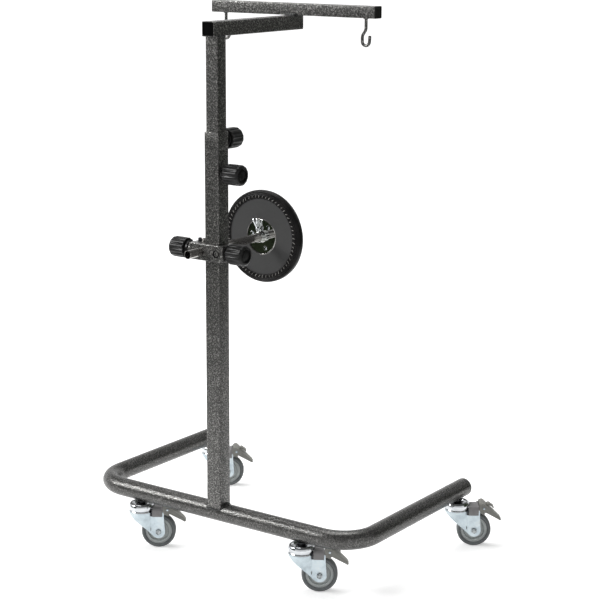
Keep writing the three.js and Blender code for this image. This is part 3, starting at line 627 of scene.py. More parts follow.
HAMMERTONE = hammertone_paint(
    "hammertone_paint", floor=(0.038, 0.0375, 0.0365), middle=(0.082, 0.081, 0.0785),
    rim=(0.35, 0.344, 0.33), grains=(0.38, 1.6))
TUBE_PAINT = hammertone_paint(
    "tube_paint", floor=(0.050, 0.0495, 0.048), middle=(0.078, 0.077, 0.0745),
    rim=(0.21, 0.206, 0.198), grains=(0.62, 1.36))
# Weld colour: darker than the tubes' paint as painted shade and painted dark reflection
SHADED_WELD = shaded_weld_paint()
SHADE_BLACK = shade_black_plastic()
BLACK = black_plastic()
ZINC = zinc_plate()
ZINC_PAINTED_DARK = zinc_painted_dark()
BRIGHT = polished("bright_plate", 60.0, (0.56, 0.58, 0.60), (0.70, 0.72, 0.74),
                  gloss=(0.09, 0.17), waves=60.0, depth=0.1)
POLISHED = polished("polished_steel", 30.0, (0.50, 0.51, 0.50), (0.58, 0.59, 0.57),
                    gloss=(0.035, 0.08), waves=14.0, depth=0.3)
BLACK_STEEL = black_steel()
STEEL = turned_steel()
HUB = moulded("hub_plastic", (0.48, 0.51, 0.505), (0.60, 0.63, 0.62), rough=0.45)
TYRE = moulded("tyre_rubber", (0.14, 0.15, 0.153), (0.20, 0.213, 0.216), rough=0.75,
               grain=300.0, strength=0.25)
HOOD = moulded("hood_nylon", (0.235, 0.228, 0.232), (0.30, 0.293, 0.296), rough=0.5)
PEDAL = moulded("pedal_nylon", (0.22, 0.218, 0.198), (0.29, 0.288, 0.264), rough=0.48)
PLATE = moulded("plate_grey", 0.050, 0.062, rough=0.85, grain=700.0, strength=0.1)
PAD = leatherette()
# The stitching's colour: partly its own, partly painted glints on the hem's puckers
THREAD_AND_GLINTS = moulded("thread_and_glints", (0.13, 0.125, 0.12), (0.40, 0.385, 0.365), rough=0.4, grain=1500.0,
                 strength=0.3)

# The frame's own nodes, by their slot
NODE_FINISHES = {
    "hammertone": HAMMERTONE, "black_plastic": BLACK, "zinc_plate": ZINC, "chrome": BRIGHT,
    "polished_steel": POLISHED, "black_steel": BLACK_STEEL, "plain_steel": STEEL,
    "hub_grey": HUB, "tyre_grey": TYRE, "brake_grey": HOOD, "plate_grey": PLATE,
    "pad_black": PAD,
}
for part in frame["record"]["subparts"]:
    node = frame["nodes"][part["node"]]
    node.data.materials.clear()
    node.data.materials.append(NODE_FINISHES[part["material_slot"]])


# Base frame

BEND_X = ARM_X - BEND       # where the back bar ends and a corner begins
base_path = ([Vector((-ARM_X, ARM_END, BASE_LEVEL)), Vector((-ARM_X, 280, BASE_LEVEL))]
             + arc((-BEND_X, BEND), BEND, 180, 270, 24, BASE_LEVEL)
             + [Vector((0, 0, BASE_LEVEL))]
             + arc((BEND_X, BEND), BEND, 270, 360, 24, BASE_LEVEL)
             + [Vector((ARM_X, 280, BASE_LEVEL)), Vector((ARM_X, ARM_END, BASE_LEVEL))])
piece("base_frame_tube", tube(base_path, BASE_RADIUS, 2, 64), TUBE_PAINT, "base", "hammertone",
      "base_tube")

plug = revolve([(0, -14), (16.6, -14), (18.1, -12.5), (18.1, 0.1), (21.1, 0.1), (21.1, 1.6),
                (20.7, 2.5), (19.8, 3.0), (17.8, 3.1), (0, 3.1)], 64)
for side, x in (("left", -ARM_X), ("right", ARM_X)):
    piece(f"arm_plug_{side}", plug, BLACK, "base", "black_plastic", f"base_plug_{side}",
          place=shift(x, ARM_END, BASE_LEVEL) @ TO_FRONT)


def saddle(y):
    """The level at which the post's lower edge meets the base tube."""
    clear = BASE_RADIUS + 0.1
    return BASE_LEVEL + math.sqrt(max(clear ** 2 - y * y, 0.0))


lower_tube = square_tube(LOWER_POST, corner=3, wall=2.5, below=saddle, above=POST_TOP)
piece("post_tube_lower", lower_tube, HAMMERTONE, "base", "hammertone", "lower_post")
foot_welds = Form([], [])
for x in (-19.9, 19.9):
    foot_welds += bead([(x, y, saddle(y) + 0.6) for y in range(-18, 19, 2)], radius=2.6)
for y in (-19.3, 19.3):
    foot_welds += bead([(x, y, BASE_LEVEL + 10.4) for x in range(-19, 20, 2)], radius=2.2)
piece("post_foot_welds", foot_welds, SHADED_WELD, "base", "hammertone", angle=60)

upper_tube = square_tube(UPPER_POST, corner=2.5, wall=2, below=540, above=CANTILEVER - 0.1)
piece("post_tube_upper", upper_tube, HAMMERTONE, "upper_frame", "hammertone", "upper_post")
collar_tube = square_tube(LOWER_POST, corner=3, wall=2.5, below=POST_TOP + 0.3,
                          above=POST_TOP + 38.3)
piece("stop_collar_tube", collar_tube, HAMMERTONE, "collar", "hammertone", "stop_collar",
      bevel=0.9, bevel_angle=60)

nut = hex_bar(flats=19, below=19.1, above=27.0, chamfer=1.6)
nut_weld = bead(arc((0, 0), 11.0, 0, 360, 30, level=19.5), radius=1.5, ripple=0.25)
height_nut = shift(0, 0, HEIGHT_KNOB) @ TO_RIGHT
collar_nut = shift(0, 0, COLLAR_KNOB) @ TO_FRONT
piece("height_nut_hex", nut, HAMMERTONE, "base", "hammertone", "height_nut", place=height_nut)
piece("height_nut_weld", nut_weld, SHADED_WELD, "base", "hammertone", place=height_nut, angle=60)
piece("collar_nut_hex", nut, HAMMERTONE, "collar", "hammertone", "collar_nut", place=collar_nut)
piece("collar_nut_weld", nut_weld, SHADED_WELD, "collar", "hammertone", place=collar_nut, angle=60)


# Cantilever, crossbar and hooks

CANTILEVER_AXIS = CANTILEVER + UPPER_POST / 2
BAR_AXIS = BAR + 13.6
CAP_SIZE = 29           # a cap on the cantilever

cantilever_tube = square_tube(UPPER_POST, corner=2.5, wall=1.4, below=0, above=328)
piece("cantilever_tube", cantilever_tube, HAMMERTONE, "upper_frame", "hammertone", "cantilever",
      place=shift(0, -26.5, CANTILEVER_AXIS) @ TO_FRONT)
crossbar_tube = square_tube(CROSSBAR, corner=2.5, wall=2, below=0, above=2 * BAR_END)
piece("crossbar_tube", crossbar_tube, HAMMERTONE, "upper_frame", "hammertone", "crossbar",
      place=shift(-BAR_END, BAR_Y, BAR_AXIS) @ TO_RIGHT)


def cap(size, seat=0.1):
    """A square plastic cap that ends a tube at level 0. seat is its rim's underside."""
    rows = [(size - 4.6, 0.5, -12), (size - 4.6, 0.5, seat), (size, 2.5, seat), (size, 2.5, 1.3),
            (size - 0.4, 2.4, 1.8), (size - 1.2, 2.2, 2.1), (size - 3.4, 1.6, 2.1),
            (size - 4.0, 1.2, 1.7), (size - 4.4, 1.0, 0.9)]
    return loft([[(p.x, p.y, z) for p in square(width, corner)] for width, corner, z in rows])


# Their near-black plastic is painted shade at the tube's ends
piece("cantilever_plug_back", cap(CAP_SIZE, -8), SHADE_BLACK, "upper_frame", "black_plastic",
      "cantilever_cap_back", place=shift(0, -25, CANTILEVER_AXIS) @ TO_BACK)
piece("cantilever_plug_front", cap(CAP_SIZE, -8), SHADE_BLACK, "upper_frame", "black_plastic",
      "cantilever_cap_front", place=shift(0, 300, CANTILEVER_AXIS) @ TO_FRONT)
for side, x, way in (("left", -BAR_END, TO_LEFT), ("right", BAR_END, TO_RIGHT)):
    piece(f"crossbar_plug_{side}", cap(CROSSBAR), BLACK, "upper_frame", "black_plastic",
          f"crossbar_cap_{side}", place=shift(x, BAR_Y, BAR_AXIS) @ way)

frame_welds = Form([], [])
for y in (BAR_Y - 14.6, BAR_Y + 14.6):
    frame_welds += bead([(x, y, BAR + 1.6) for x in range(-16, 17, 2)], 3.9, ripple=0.7,
                        pitch=5.0)
for x in (-15.4, 15.4):
    frame_welds += bead([(x, BAR_Y + y, BAR + 0.2) for y in range(-12, 13, 2)], 1.8)
for y in (-15.8, 15.8):
    frame_welds += bead([(x, y, CANTILEVER - 0.5) for x in range(-13, 14, 2)], 1.7)
for x in (-15.8, 15.8):
    frame_welds += bead([(x, y, CANTILEVER - 0.3) for y in range(-13, 14, 2)], 1.3)


def bezier(a, b, c, d, steps):
    """Points on the curve from a to d, without a itself."""
    out = []
    for k in range(1, steps + 1):
        t = k / steps
        u = 1 - t
        out.append(a * u ** 3 + b * 3 * t * u ** 2 + c * 3 * t * t * u + d * t ** 3)
    return out


def hook_path():
    """A shank that steps aside, a half ring, and a short end that points up again."""
    bowl = -51          # level at which the half ring begins
    path = [Vector((0, 0, z)) for z in (0.5, -10, -20)]
    step = [Vector((x, 0, z)) for x, z in ((0, -20), (0, -32), (-9.5, -32), (-9.5, -44))]
    path += bezier(*step, 16)
    path.append(Vector((-9.5, 0, bowl)))
    path += [Vector((p.x, 0, p.y)) for p in arc((-0.1, bowl), 9.4, 180, 360, 24)[1:]]
    end = ((9.7, -47.5), (10.2, -41), (10.4, -38.9), (10.47, -38.3), (10.5, -38.0))
    return path + [Vector((x, 0, z)) for x, z in end]


route = hook_path()
hook_end = [3.3, 2.6, 1.2]
hook = sweep(route, [3.5] * (len(route) - len(hook_end)) + hook_end, 20)
for side, x in (("left", -HOOK_X), ("right", HOOK_X)):
    piece(f"cord_hook_{side}", hook, HAMMERTONE, "upper_frame", "hammertone", f"hook_{side}",
          place=shift(x, BAR_Y, BAR))
    frame_welds += bead(arc((x, BAR_Y), 4.4, 0, 360, 18, level=BAR - 0.2), 1.5, ripple=0.2)
piece("frame_welds", frame_welds, SHADED_WELD, "upper_frame", "hammertone", angle=60)


# Knobs

FLUTES = 12
KNOB_RADIUS = 23


def knob_form(neck):
    """A fluted hand knob. neck is the height of the plain collar below its grip."""

    def ring(radius, z, depth=0.0):
        def radius_at(t):
            return radius - depth * ((1 + math.cos(FLUTES * t)) / 2) ** 2
        return polar_ring(radius_at, z, FLUTES * 10)

    top = neck + 41
    rings = [ring(16.2, 0), ring(17.0, 0.8), ring(17.0, neck), ring(21.0, neck),
             ring(22.3, neck + 0.5, 1.0), ring(KNOB_RADIUS, neck + 1.7, 2.0)]
    rings += [ring(KNOB_RADIUS - 0.25 * abs(k - 2) / 2, neck + 3 + k * 8, depth)
              for k, depth in enumerate((2.1, 2.1, 2.0, 1.6, 0.9))]
    for k in range(1, 8):
        t = math.radians(90 * k / 7)
        rings.append(ring(22.8 - 6.2 * (1 - math.cos(t)), top - 6 + 6 * math.sin(t),
                          0.8 * math.cos(t) ** 1.5 if k < 7 else 0))
    recess = ((15.9, 0), (15.5, 0.4), (15.3, 3.7), (14.9, 4), (9.9, 4), (9.5, 3.8), (9.4, 2.2),
              (8.9, 1.7), (7.8, 1.5))
    rings += [ring(radius, top - depth) for radius, depth in recess]
    return loft(rings)


def stud_form(reach):
    """The knob's threaded stud, from its point below to where it sits in the grip."""
    pitch = 1.5
    grip = 20.0
    profile = [(0, -reach), (2.6, -reach), (4.2, -reach + 2.2)]
    z = -reach + 2.6
    while z < 2:
        profile += [(4.9, z), (4.25, z + pitch / 2)]
        z += pitch
    return revolve(profile + [(4.6, grip), (0, grip)], 32)


def add_knob(name, neck, reach, place):
    piece(f"{name}_grip", knob_form(neck), BLACK, name, "black_plastic", name, place=place)
    piece(f"{name}_stud", stud_form(reach), STEEL, name, "plain_steel", place=place)


add_knob("height_knob", neck=3.7, reach=11.0, place=shift(27.3, 0, HEIGHT_KNOB) @ TO_RIGHT)
add_knob("collar_knob", neck=3.7, reach=11.0, place=shift(0, 27.3, COLLAR_KNOB) @ TO_FRONT)
add_knob("post_clamp_knob", neck=8.5, reach=12.0, place=shift(31.3, 0, CLAMP) @ TO_RIGHT)
add_knob("rod_knob", neck=8.5, reach=31.5, place=shift(-72.3, 0, CLAMP) @ TO_LEFT)


# Damper clamp

CLAMP_HALF = 18.5           # half its height
POCKET_X = 14.4             # the round pocket in its back face

plan = [(p.x - 15.5, p.y) for p in square(93, corner=5, steps=6, depth=45.6)]
block = to_object("clamp", prism(plan, -CLAMP_HALF, CLAMP_HALF), bevel=2.6, segments=4,
                  bevel_angle=60)
carve(block,
      prism(square(38.6, 3.2), -30, 30),
      round_bar(9.8, -30, 30, 64).at(shift(ROD_X) @ TO_FRONT),
      round_bar(8, 0, 5, 48).at(shift(POCKET_X, -25.3) @ TO_FRONT),
      round_bar(4.5, 0, 5, 36).at(shift(-21, -25.3) @ TO_FRONT))
smooth(block, 28)
piece("clamp_block", block, HAMMERTONE, "damper_clamp", "hammertone", "clamp_body",
      place=shift(0, 0, CLAMP))
bpy.data.objects.remove(block)
boss = revolve([(5.4, 55), (15, 55), (15, 70.8), (14.6, 71.6), (13.8, 72), (5.4, 72)], 56,
               closed=True)
piece("clamp_boss", boss, HAMMERTONE, "damper_clamp", "hammertone",
      place=shift(0, 0, CLAMP) @ TO_LEFT)

in_pocket = shift(POCKET_X, -20.3, CLAMP) @ TO_BACK
sunk_disc = revolve([(0, 0), (7.9, 0), (7.9, 1.7), (7.2, 1.0), (5.5, 0.5), (0, 0.3)], 48)
piece("clamp_sunk_disc", sunk_disc, HAMMERTONE, "damper_clamp", "hammertone", place=in_pocket)
# A near-black ring at the pocket's rim: painted shade of the pocket's wall
shaded_pocket_rim = revolve([(6.3, 1.0), (6.3, 2.4), (6.7, 2.7), (8.4, 2.7), (8.8, 2.4), (7.9, 2.2),
                      (7.9, 1.0)], 48, closed=True)
piece("clamp_pocket_shade_rim", shaded_pocket_rim, SHADE_BLACK, "damper_clamp", "black_plastic", place=in_pocket)

bolt_head = revolve([(0, 0), (4.6, 0), (4.6, 1.2), (3.8, 1.6), (4.3, 2.2), (4.3, 7.2), (3.7, 8.4),
                     (2.4, 8.8), (1.6, 8.8), (1.4, 7.2), (0, 7.2)], 32)
for name, finish, slot, x in (("outer", BLACK_STEEL, "black_steel", -47.5),
                              ("inner", STEEL, "plain_steel", -37)):
    piece(f"clamp_bolt_{name}", bolt_head, finish, "damper_clamp", slot,
          place=shift(x, 0, CLAMP + CLAMP_HALF - 0.1))


# Damper, written along its rod from the post's axis on

PLATE_BACK = 204            # faces of the back plate
PLATE_FRONT = 208
FLANGE_BACK = 205.5
STITCHES = 60

on_rod = shift(ROD_X, 0, CLAMP) @ TO_FRONT
rod = revolve([(9.0, -65), (9.5, -64.4), (9.5, 205.2), (7.9, 205.2), (7.9, -64.7), (8.2, -65)],
              64, closed=True)
piece("damper_rod_tube", rod, STEEL, "damper_rod", "plain_steel", "damper_rod", place=on_rod)

flange = revolve([
    (9.8, 191.5), (11.8, 191.5), (12.3, 191.8), (12.5, 192.4), (12.5, 203.8), (12.9, 205.0),
    (13.8, FLANGE_BACK), (38.6, FLANGE_BACK), (39.2, 205.8), (39.5, 206.4), (39.5, 207.4),
    (39.0, PLATE_FRONT), (0, PLATE_FRONT), (0, FLANGE_BACK), (9.8, FLANGE_BACK)], 96)
piece("damper_flange_disc", flange, POLISHED, "damper_disc", "polished_steel", "damper_flange",
      place=on_rod, angle=24)

screw_head = (hex_bar(flats=7, below=0, above=3.4, chamfer=0.6)
              + revolve([(0, 0), (5.2, 0), (5.2, 0.6), (4.8, 0.9), (0, 0.9)], 32))
screws = Form([], [])
for degrees in (168, 52, -70):
    t = math.radians(degrees)
    spot = shift(ROD_X + 28 * math.cos(t), FLANGE_BACK + 0.1, CLAMP + 28 * math.sin(t)) @ TO_BACK
    screws += screw_head.at(spot @ turn(degrees, "Z"))
piece("flange_screws", screws, BRIGHT, "damper_disc", "polished_steel", angle=25)

on_wing = shift(ROD_X, 198.5, CLAMP) @ turn(-18, "Y")
shank = revolve([(0, 9.9), (2.6, 9.9), (3, 10.4), (3, 21), (0, 21)], 32)
wing_collar = revolve([(3.2, 15.6), (5.0, 16.2), (5.4, 18), (5.4, 20.5), (4.6, 22.4), (2.8, 23.4),
                       (0, 23.6)], 32)
wing_outline = rounded([(-1.8, 19), (2.4, 18.6), (4.6, 25), (7.6, 35), (9.6, 41.5), (8.2, 45.2),
                        (4.8, 44.2), (3.0, 38), (0.6, 30), (-0.8, 26)],
                       [1, 1.6, 3, 3, 2.2, 2.2, 2.2, 3, 3, 1])
wing_form = prism(wing_outline, -1.5, 1.5).at(turn(90, "X")).at(turn(90, "Z"))
wing = to_object("wing", wing_form, bevel=0.7, segments=3)
wing_screw = to_object("wing_screw", shank + wing_collar)
piece("wing_screw_body", wing_screw, BRIGHT, "damper_disc", "polished_steel",
      "damper_wing_screw", place=on_wing)
piece("wing_screw_wing_far", wing, BRIGHT, "damper_disc", "polished_steel", place=on_wing)
piece("wing_screw_wing_near", wing, BRIGHT, "damper_disc", "polished_steel",
      place=on_wing @ turn(180, "Z"))
for spare in (wing, wing_screw):
    bpy.data.objects.remove(spare)

plate = revolve([(41, 204.4), (41.4, PLATE_BACK), (95.6, PLATE_BACK), (96, 204.4),
                 (96, PLATE_FRONT), (41, PLATE_FRONT)], 128, closed=True)
piece("damper_backplate", plate, PLATE, "damper_disc", "plate_grey", "damper_plate", place=on_rod)
# A thin bright ring at the plate's hole: a painted highlight standing for the light on the
# flange's edge
plate_highlight_ring = revolve([(40.5, 203.95), (41.0, 203.6), (41.5, 203.95), (41.0, 204.2)], 128,
                     closed=True)
piece("backplate_highlight_ring", plate_highlight_ring, STEEL, "damper_disc", "polished_steel", place=on_rod)

# Radius, level and gather: how much a row of the cover follows the folds between the stitches
PAD_PROFILE = [
    (0, 208.3, 0), (50, 208.3, 0), (96.2, 208.3, 0), (96.2, 203.7, 0), (88.6, 203.7, 0.2),
    (88.0, 203.1, 0.5), (88.3, 202.2, 0.9), (89.4, 201.8, 1.0), (91.2, 201.7, 1.0),
    (93.0, 201.9, 0.9), (94.8, 201.7, 0.8), (96.4, 201.8, 0.7), (97.6, 202.3, 0.4),
    (98.2, 203.0, 0.2), (98.7, 202.4, 0.1), (99.6, 201.8, 0.1), (100.6, 201.9, 0.1),
    (101.5, 202.6, 0.1), (102.0, 203.4, 0.1), (102.5, 203.0, 0.05), (103.4, 202.8, 0.05),
    (104.5, 203.4, 0.05), (105.3, 204.5, 0.05), (105.7, 205.6, 0.05), (106.2, 205.8, 0.05),
    (106.9, 206.8, 0.05), (107.2, 208.6, 0.05), (107.4, 212.0, 0.05), (107.2, 216.5, 0.05),
    (106.0, 221.0, 0), (103.4, 224.4, 0), (99.0, 226.4, 0), (92.0, 227.0, 0), (60, 227.0, 0),
    (0, 227.0, 0)]


def gathered(row, angle):
    """The cover's hem drawn in at its stitches and standing up a little between them."""
    radius, level, gather = row
    fold = math.cos(STITCHES * angle)
    lift = gather * (0.32 * fold + 0.12 * math.sin(STITCHES * 0.5 * angle + 1.3))
    return radius - 0.3 * gather * fold, level + 0.3 * gather - lift


cover = revolve(PAD_PROFILE, STITCHES * 8, vary=gathered)
pad = piece("damper_pad_cover", cover, PAD, "damper_disc", "pad_black", "damper_pad",
            place=on_rod, angle=60)


def stitch(number):
    """One stitch of the hem, laid askew and not quite like its neighbours."""
    t = 2 * math.pi * (number + 0.5) / STITCHES
    t += random.uniform(-0.008, 0.008)
    centre = Vector((93.2 * math.cos(t), 93.2 * math.sin(t), 201.75))
    outward = Vector((math.cos(t), math.sin(t), 0))
    sideways = Vector((-math.sin(t), math.cos(t), 0))
    way = (outward * 0.9 + sideways * random.uniform(0.2, 0.9)).normalized()
    lift = random.uniform(-0.55, 0.05)
    reach = random.uniform(0.65, 1.1)
    points = [centre + way * d * reach + Vector((0, 0, lift + 0.09 * abs(d) ** 1.6))
              for d in (-3.4, -2.4, -1.2, 0, 1.2, 2.4, 3.4)]
    return sweep(points, [0.4, 0.8, 0.95, 0.95, 0.95, 0.8, 0.4], 8)


stitching = Form([], [])
for number in range(STITCHES):
    stitching += stitch(number)
piece("pad_stitching", stitching, THREAD_AND_GLINTS, "damper_disc", "pad_black", place=on_rod, angle=60)


# Casters, written from the swivel axis at the axle's level, wheel towards +X

def fork_ring(radius, half, rear, z, swell):
    """A section of the fork: an arc round the swivel axis that runs out into two legs.

    swell is 0 where it is no wider than the legs and 1 where the arc is a full circle.
    """
    steps = 40
    crease = math.asin(half / radius)
    ring = [(rear, half, z)]
    for i in range(steps + 1):
        t = crease + (2 * math.pi - 2 * crease) * i / steps
        x, y = radius * math.cos(t), radius * math.sin(t)
        beyond = max(abs(y) - half, 0) * (1 - swell)
        ring.append((x, y - math.copysign(beyond, y), z))
    ring.append((rear, -half, z))
    return ring


def fork_shell(radius, half, rear, bottom, top):
    levels = [(bottom, 0.0), (2.0, 0.0)]
    levels += [(2 + (top - 2) * k / 10, (k / 10) ** 0.9) for k in range(1, 11)]
    return loft([fork_ring(radius, half, rear, z, swell) for z, swell in levels])


def fork_object():
    """One pressed plate: a round crown over the swivel axis and two flat legs to the axle."""
    crown, legs, top, wall = 29, 17.5, 47.7, 2.5
    lobe = arc((TRAIL, 0), 15.5, -134, 10, 24)
    side = [(-crown, top), (-crown, top - wall)] + lobe + [(53, 38), (53, top)]
    slots = [prism([(22.4, y), (23.3, y), (23.3, y + 4), (22.4, y + 4)], 12, 41)
             for y in (17.0, -21.0)]
    fork = to_object("fork", upright(side, 40))
    combine(fork, fork_shell(crown, legs, 80, -40, top), "INTERSECT")
    carve(fork,
          fork_shell(crown - wall, legs - wall, 90, -50, top - wall),
          upright([(27, -5), (90, -5), (90, 65), (27, 65)], legs - wall),
          round_bar(6.3, 30, 60),
          round_bar(4.3, -40, 40).at(shift(TRAIL) @ TO_FRONT),
          upright([(p.x + 22.4, p.y + 7) for p in square(2.2, 1.0, 4, depth=8)], 40),
          *slots)
    merge_points(fork)
    smooth(fork, 16)
    return fork


def hood_object():
    outer = rounded([(21.1, 38), (21.1, 61), (-21.1, 61), (-21.1, 38)], [0.6, 11, 11, 0.6], 8)
    inner = rounded([(-17.8, 38), (-17.8, 58), (17.8, 58), (17.8, 38)], [0, 8, 8, 0], 8)
    hood = loft([[(x, p.x, p.y) for p in outer + inner] for x in (26.4, 49.7)])
    hood = to_object("hood", hood, bevel=0.6, segments=3, bevel_angle=60)
    carve(hood, round_bar(30.9, 48, 62, 96))
    smooth(hood)
    return hood


def ears_form():
    """The two lugs on the hood that hold the pedal's pin."""
    outline = [(46.7, 49.8)] + arc((PIN_X, PIN_RISE), 5.2, -90, 90, 15) + [(46.7, 60.2)]
    return slab(outline, 17.85, 1.45) + slab(outline, -19.3, 1.45)


def shade_strip_form():
    """Dark steel strips beside the fork's sides at the hood's front edge: a dark piece put in as
    painted shade of the gap between fork and hood.
    """
    outline = [(22, 39), (26.3, 38.2), (26.3, 56), (24.8, 56), (24.6, 47.5), (22, 47.5)]
    return slab(outline, 17.6, 2.4) + slab(outline, -20.0, 2.4)


def pedal_object():
    tip = 104.4
    side = rounded([(54.5, 42.2), (51.0, 52.3), (50.7, 64.0), (57.5, 67.0), (62.0, 66.1),
                    (101.2, 30.2), (tip, 24.1), (102.0, 22.1), (66.0, 45.2), (62.7, 42.2)],
                   [1.5, 1, 4, 4, 4, 4, 1.4, 1.2, 4, 3])
    pedal = to_object("pedal", upright(side, 21.1), bevel=1.5, segments=3, bevel_angle=60)
    carve(pedal, upright([(44, -5), (44, 61.5), (50.7, 61.5), (57.5, 64.5), (60, 64.5),
                          (97.5, 30.2), (97.5, -5)], 19.6))
    merge_points(pedal)
    for vertex in pedal.data.vertices:
        along = min(max((vertex.co.x * 1000 - PIN_X) / (tip - PIN_X), 0), 1)
        vertex.co.y *= 1 - 0.62 * along
    smooth(pedal, 32)
    return pedal


def shoe_form():
    """The block under the pedal whose curved end comes down on the tyre."""
    to_axle = math.degrees(math.atan2(-PIN_RISE, TRAIL - PIN_X))
    tread = arc((PIN_X, PIN_RISE), 18.9, to_axle + 12, to_axle + 30, 2)
    return upright(tread + [(67, 55), (64.5, 62.5), (57, 64.3), (57, 55)], 11)


def tab_form():
    """The release tab that stands on the pedal."""
    outline = rounded([(67.8, 58.3), (69.9, 63.7), (74.6, 64.8), (85.5, 56.7), (86.5, 50.9),
                       (83.6, 52.6), (82.0, 55.3), (74.9, 59.3), (71.6, 56.3)],
                      [0.5, 1.8, 1.8, 2.2, 0.8, 0.8, 1.5, 1.5, 0.5])
    return upright(outline, 7)


head_rim = [(23.5 + 6.35 * math.cos(math.radians(t)), 58.6 + 9.4 * math.sin(math.radians(t)))
            for t in range(-54, 145, 9)]
head = revolve([(6.3, 48), (27.4, 48), (28.4, 48.3), (28.6, 49.2), (27.9, 50.0)] + head_rim
               + [(17.6, 63.2), (16.2, 62.5), (6.3, 62.5)], 80, closed=True)
stem = (revolve([(0, 41.9), (8.4, 41.9), (9.5, 42.8), (9.5, 44.9), (6, 44.9), (6, 62.8),
                 (12.4, 62.8), (13, 63.2), (13, 64.9), (12.4, 65.5), (6, 65.5), (6, 94), (0, 94)],
                40)
        + hex_bar(flats=19, below=65.5, above=72.6, chamfer=1.6))
axle_nut = hex_bar(flats=12, below=17.6, above=22.3, chamfer=1.4)
axle = (revolve([(0, -20), (4, -20), (4, 22), (3.4, 24.4), (0, 24.4)], 32)
        + axle_nut + axle_nut.at(turn(180, "X")))
hub = mirrored([(4.3, 14.6), (7.4, 14.6), (8.2, 14.0), (8.4, 12.6), (8.8, 6.2), (9.8, 5.4),
                (14.0, 5.2), (14.8, 7.8), (16.6, 7.8), (17.4, 4.6), (22.4, 4.4), (24.0, 5.6),
                (24.8, 9.2), (25.6, 9.9), (27.2, 9.9), (27.8, 8.6), (29.0, 8.6), (29.6, 9.9),
                (30.7, 9.6)], sides=72)
tyre = mirrored([(31.0, 9.4), (31.6, 10.6), (33.0, 11.6), (35.0, 12.3), (36.6, 12.5),
                 (38.0, 12.0), (39.2, 10.6), (39.8, 8.6), (40.0, 5.0)], sides=96)
fork = fork_object()
hood = hood_object()
pedal = pedal_object()
ears = to_object("ears", ears_form(), bevel=0.4)
shade_strip = to_object("shade_strip", shade_strip_form(), bevel=0.35)
pin = revolve([(0, -21.9), (1.6, -21.9), (2.5, -21.3), (2.5, 21.3), (1.6, 21.9), (0, 21.9)], 24)
shoe = to_object("shoe", shoe_form(), bevel=0.8)
tab = to_object("tab", tab_form(), bevel=1.0, segments=3, bevel_angle=60)



def add_caster(caster, x, y):
    spot = shift(x, y, AXLE) @ Matrix.Rotation(HEADING, 4, "Z")
    on_axle = spot @ shift(TRAIL) @ TO_FRONT
    on_pin = spot @ shift(PIN_X, 0, PIN_RISE) @ TO_FRONT
    swivel, wheel, brake = f"{caster}_swivel", f"{caster}_wheel", f"{caster}_pedal"

    def add(name, form, finish, body, slot, node="", place=spot, **shape):
        stands_for = f"{caster}_{node}" if node else ()
        piece(f"{caster}_{name}", form, finish, body, slot, stands_for, place, **shape)

    add("stem_bolt", stem, BLACK_STEEL, "base", "black_steel", "stem", angle=25)
    add("ball_race", head, BRIGHT, swivel, "chrome", "head")
    add("fork_plate", fork, ZINC, swivel, "zinc_plate", "fork")
    # The axle bolt's darker zinc is painted dark reflection
    add("axle_bolt", axle, ZINC_PAINTED_DARK, swivel, "zinc_plate", "axle", on_axle, angle=25)
    add("wheel_hub", hub, HUB, wheel, "hub_grey", "hub", on_axle)
    add("wheel_tyre", tyre, TYRE, wheel, "tyre_grey", "tyre", on_axle, angle=40)
    add("brake_hood", hood, HOOD, swivel, "brake_grey", "brake_housing")
    add("brake_ears", ears, HOOD, swivel, "brake_grey")
    # The dark strips are painted shade in the gap before the hood
    add("brake_shade_strip", shade_strip, BLACK_STEEL, swivel, "black_steel")
    add("brake_pin", pin, ZINC, swivel, "zinc_plate", place=on_pin)
    add("pedal_channel", pedal, PEDAL, brake, "brake_grey", "brake_pedal")
    add("pedal_shoe", shoe, PEDAL, brake, "brake_grey")
    add("pedal_tab", tab, PEDAL, brake, "brake_grey")


for caster, (x, y) in CASTERS.items():
    add_caster(caster, x, y)
for spare in (fork, hood, pedal, ears, shade_strip, shoe, tab):
    bpy.data.objects.remove(spare)


# Camera, in metres from the post's axis on the floor, and radians

EYE = Vector((2.24503, -2.85471, 1.45240))
AZIMUTH = 0.61625
PITCH = 0.20987
ROLL = 0.00395

camera = add_object("camera", bpy.data.cameras.new("camera"))
bpy.context.scene.camera = camera
camera.data.sensor_width = 36
camera.data.lens = 101.12
camera.data.shift_y = -0.04
forward = Vector((-math.sin(AZIMUTH) * math.cos(PITCH), math.cos(AZIMUTH) * math.cos(PITCH),
                  -math.sin(PITCH)))
level_right = Vector((math.cos(AZIMUTH), math.sin(AZIMUTH), 0))
level_up = level_right.cross(forward)
right = level_right * math.cos(ROLL) + level_up * math.sin(ROLL)
up = level_up * math.cos(ROLL) - level_right * math.sin(ROLL)
eye = POST / 1000 + EYE
camera.matrix_world = Matrix((
    (right.x, up.x, -forward.x, eye.x), (right.y, up.y, -forward.y, eye.y),
    (right.z, up.z, -forward.z, eye.z), (0, 0, 0, 1)))


# Floor, backdrop and light

def flat_sheet(name, *corners):
    mesh = bpy.data.meshes.new(name)
    mesh.from_pydata(corners, [], [(0, 1, 2, 3)])
    sheet = add_object(name, mesh)
    return sheet


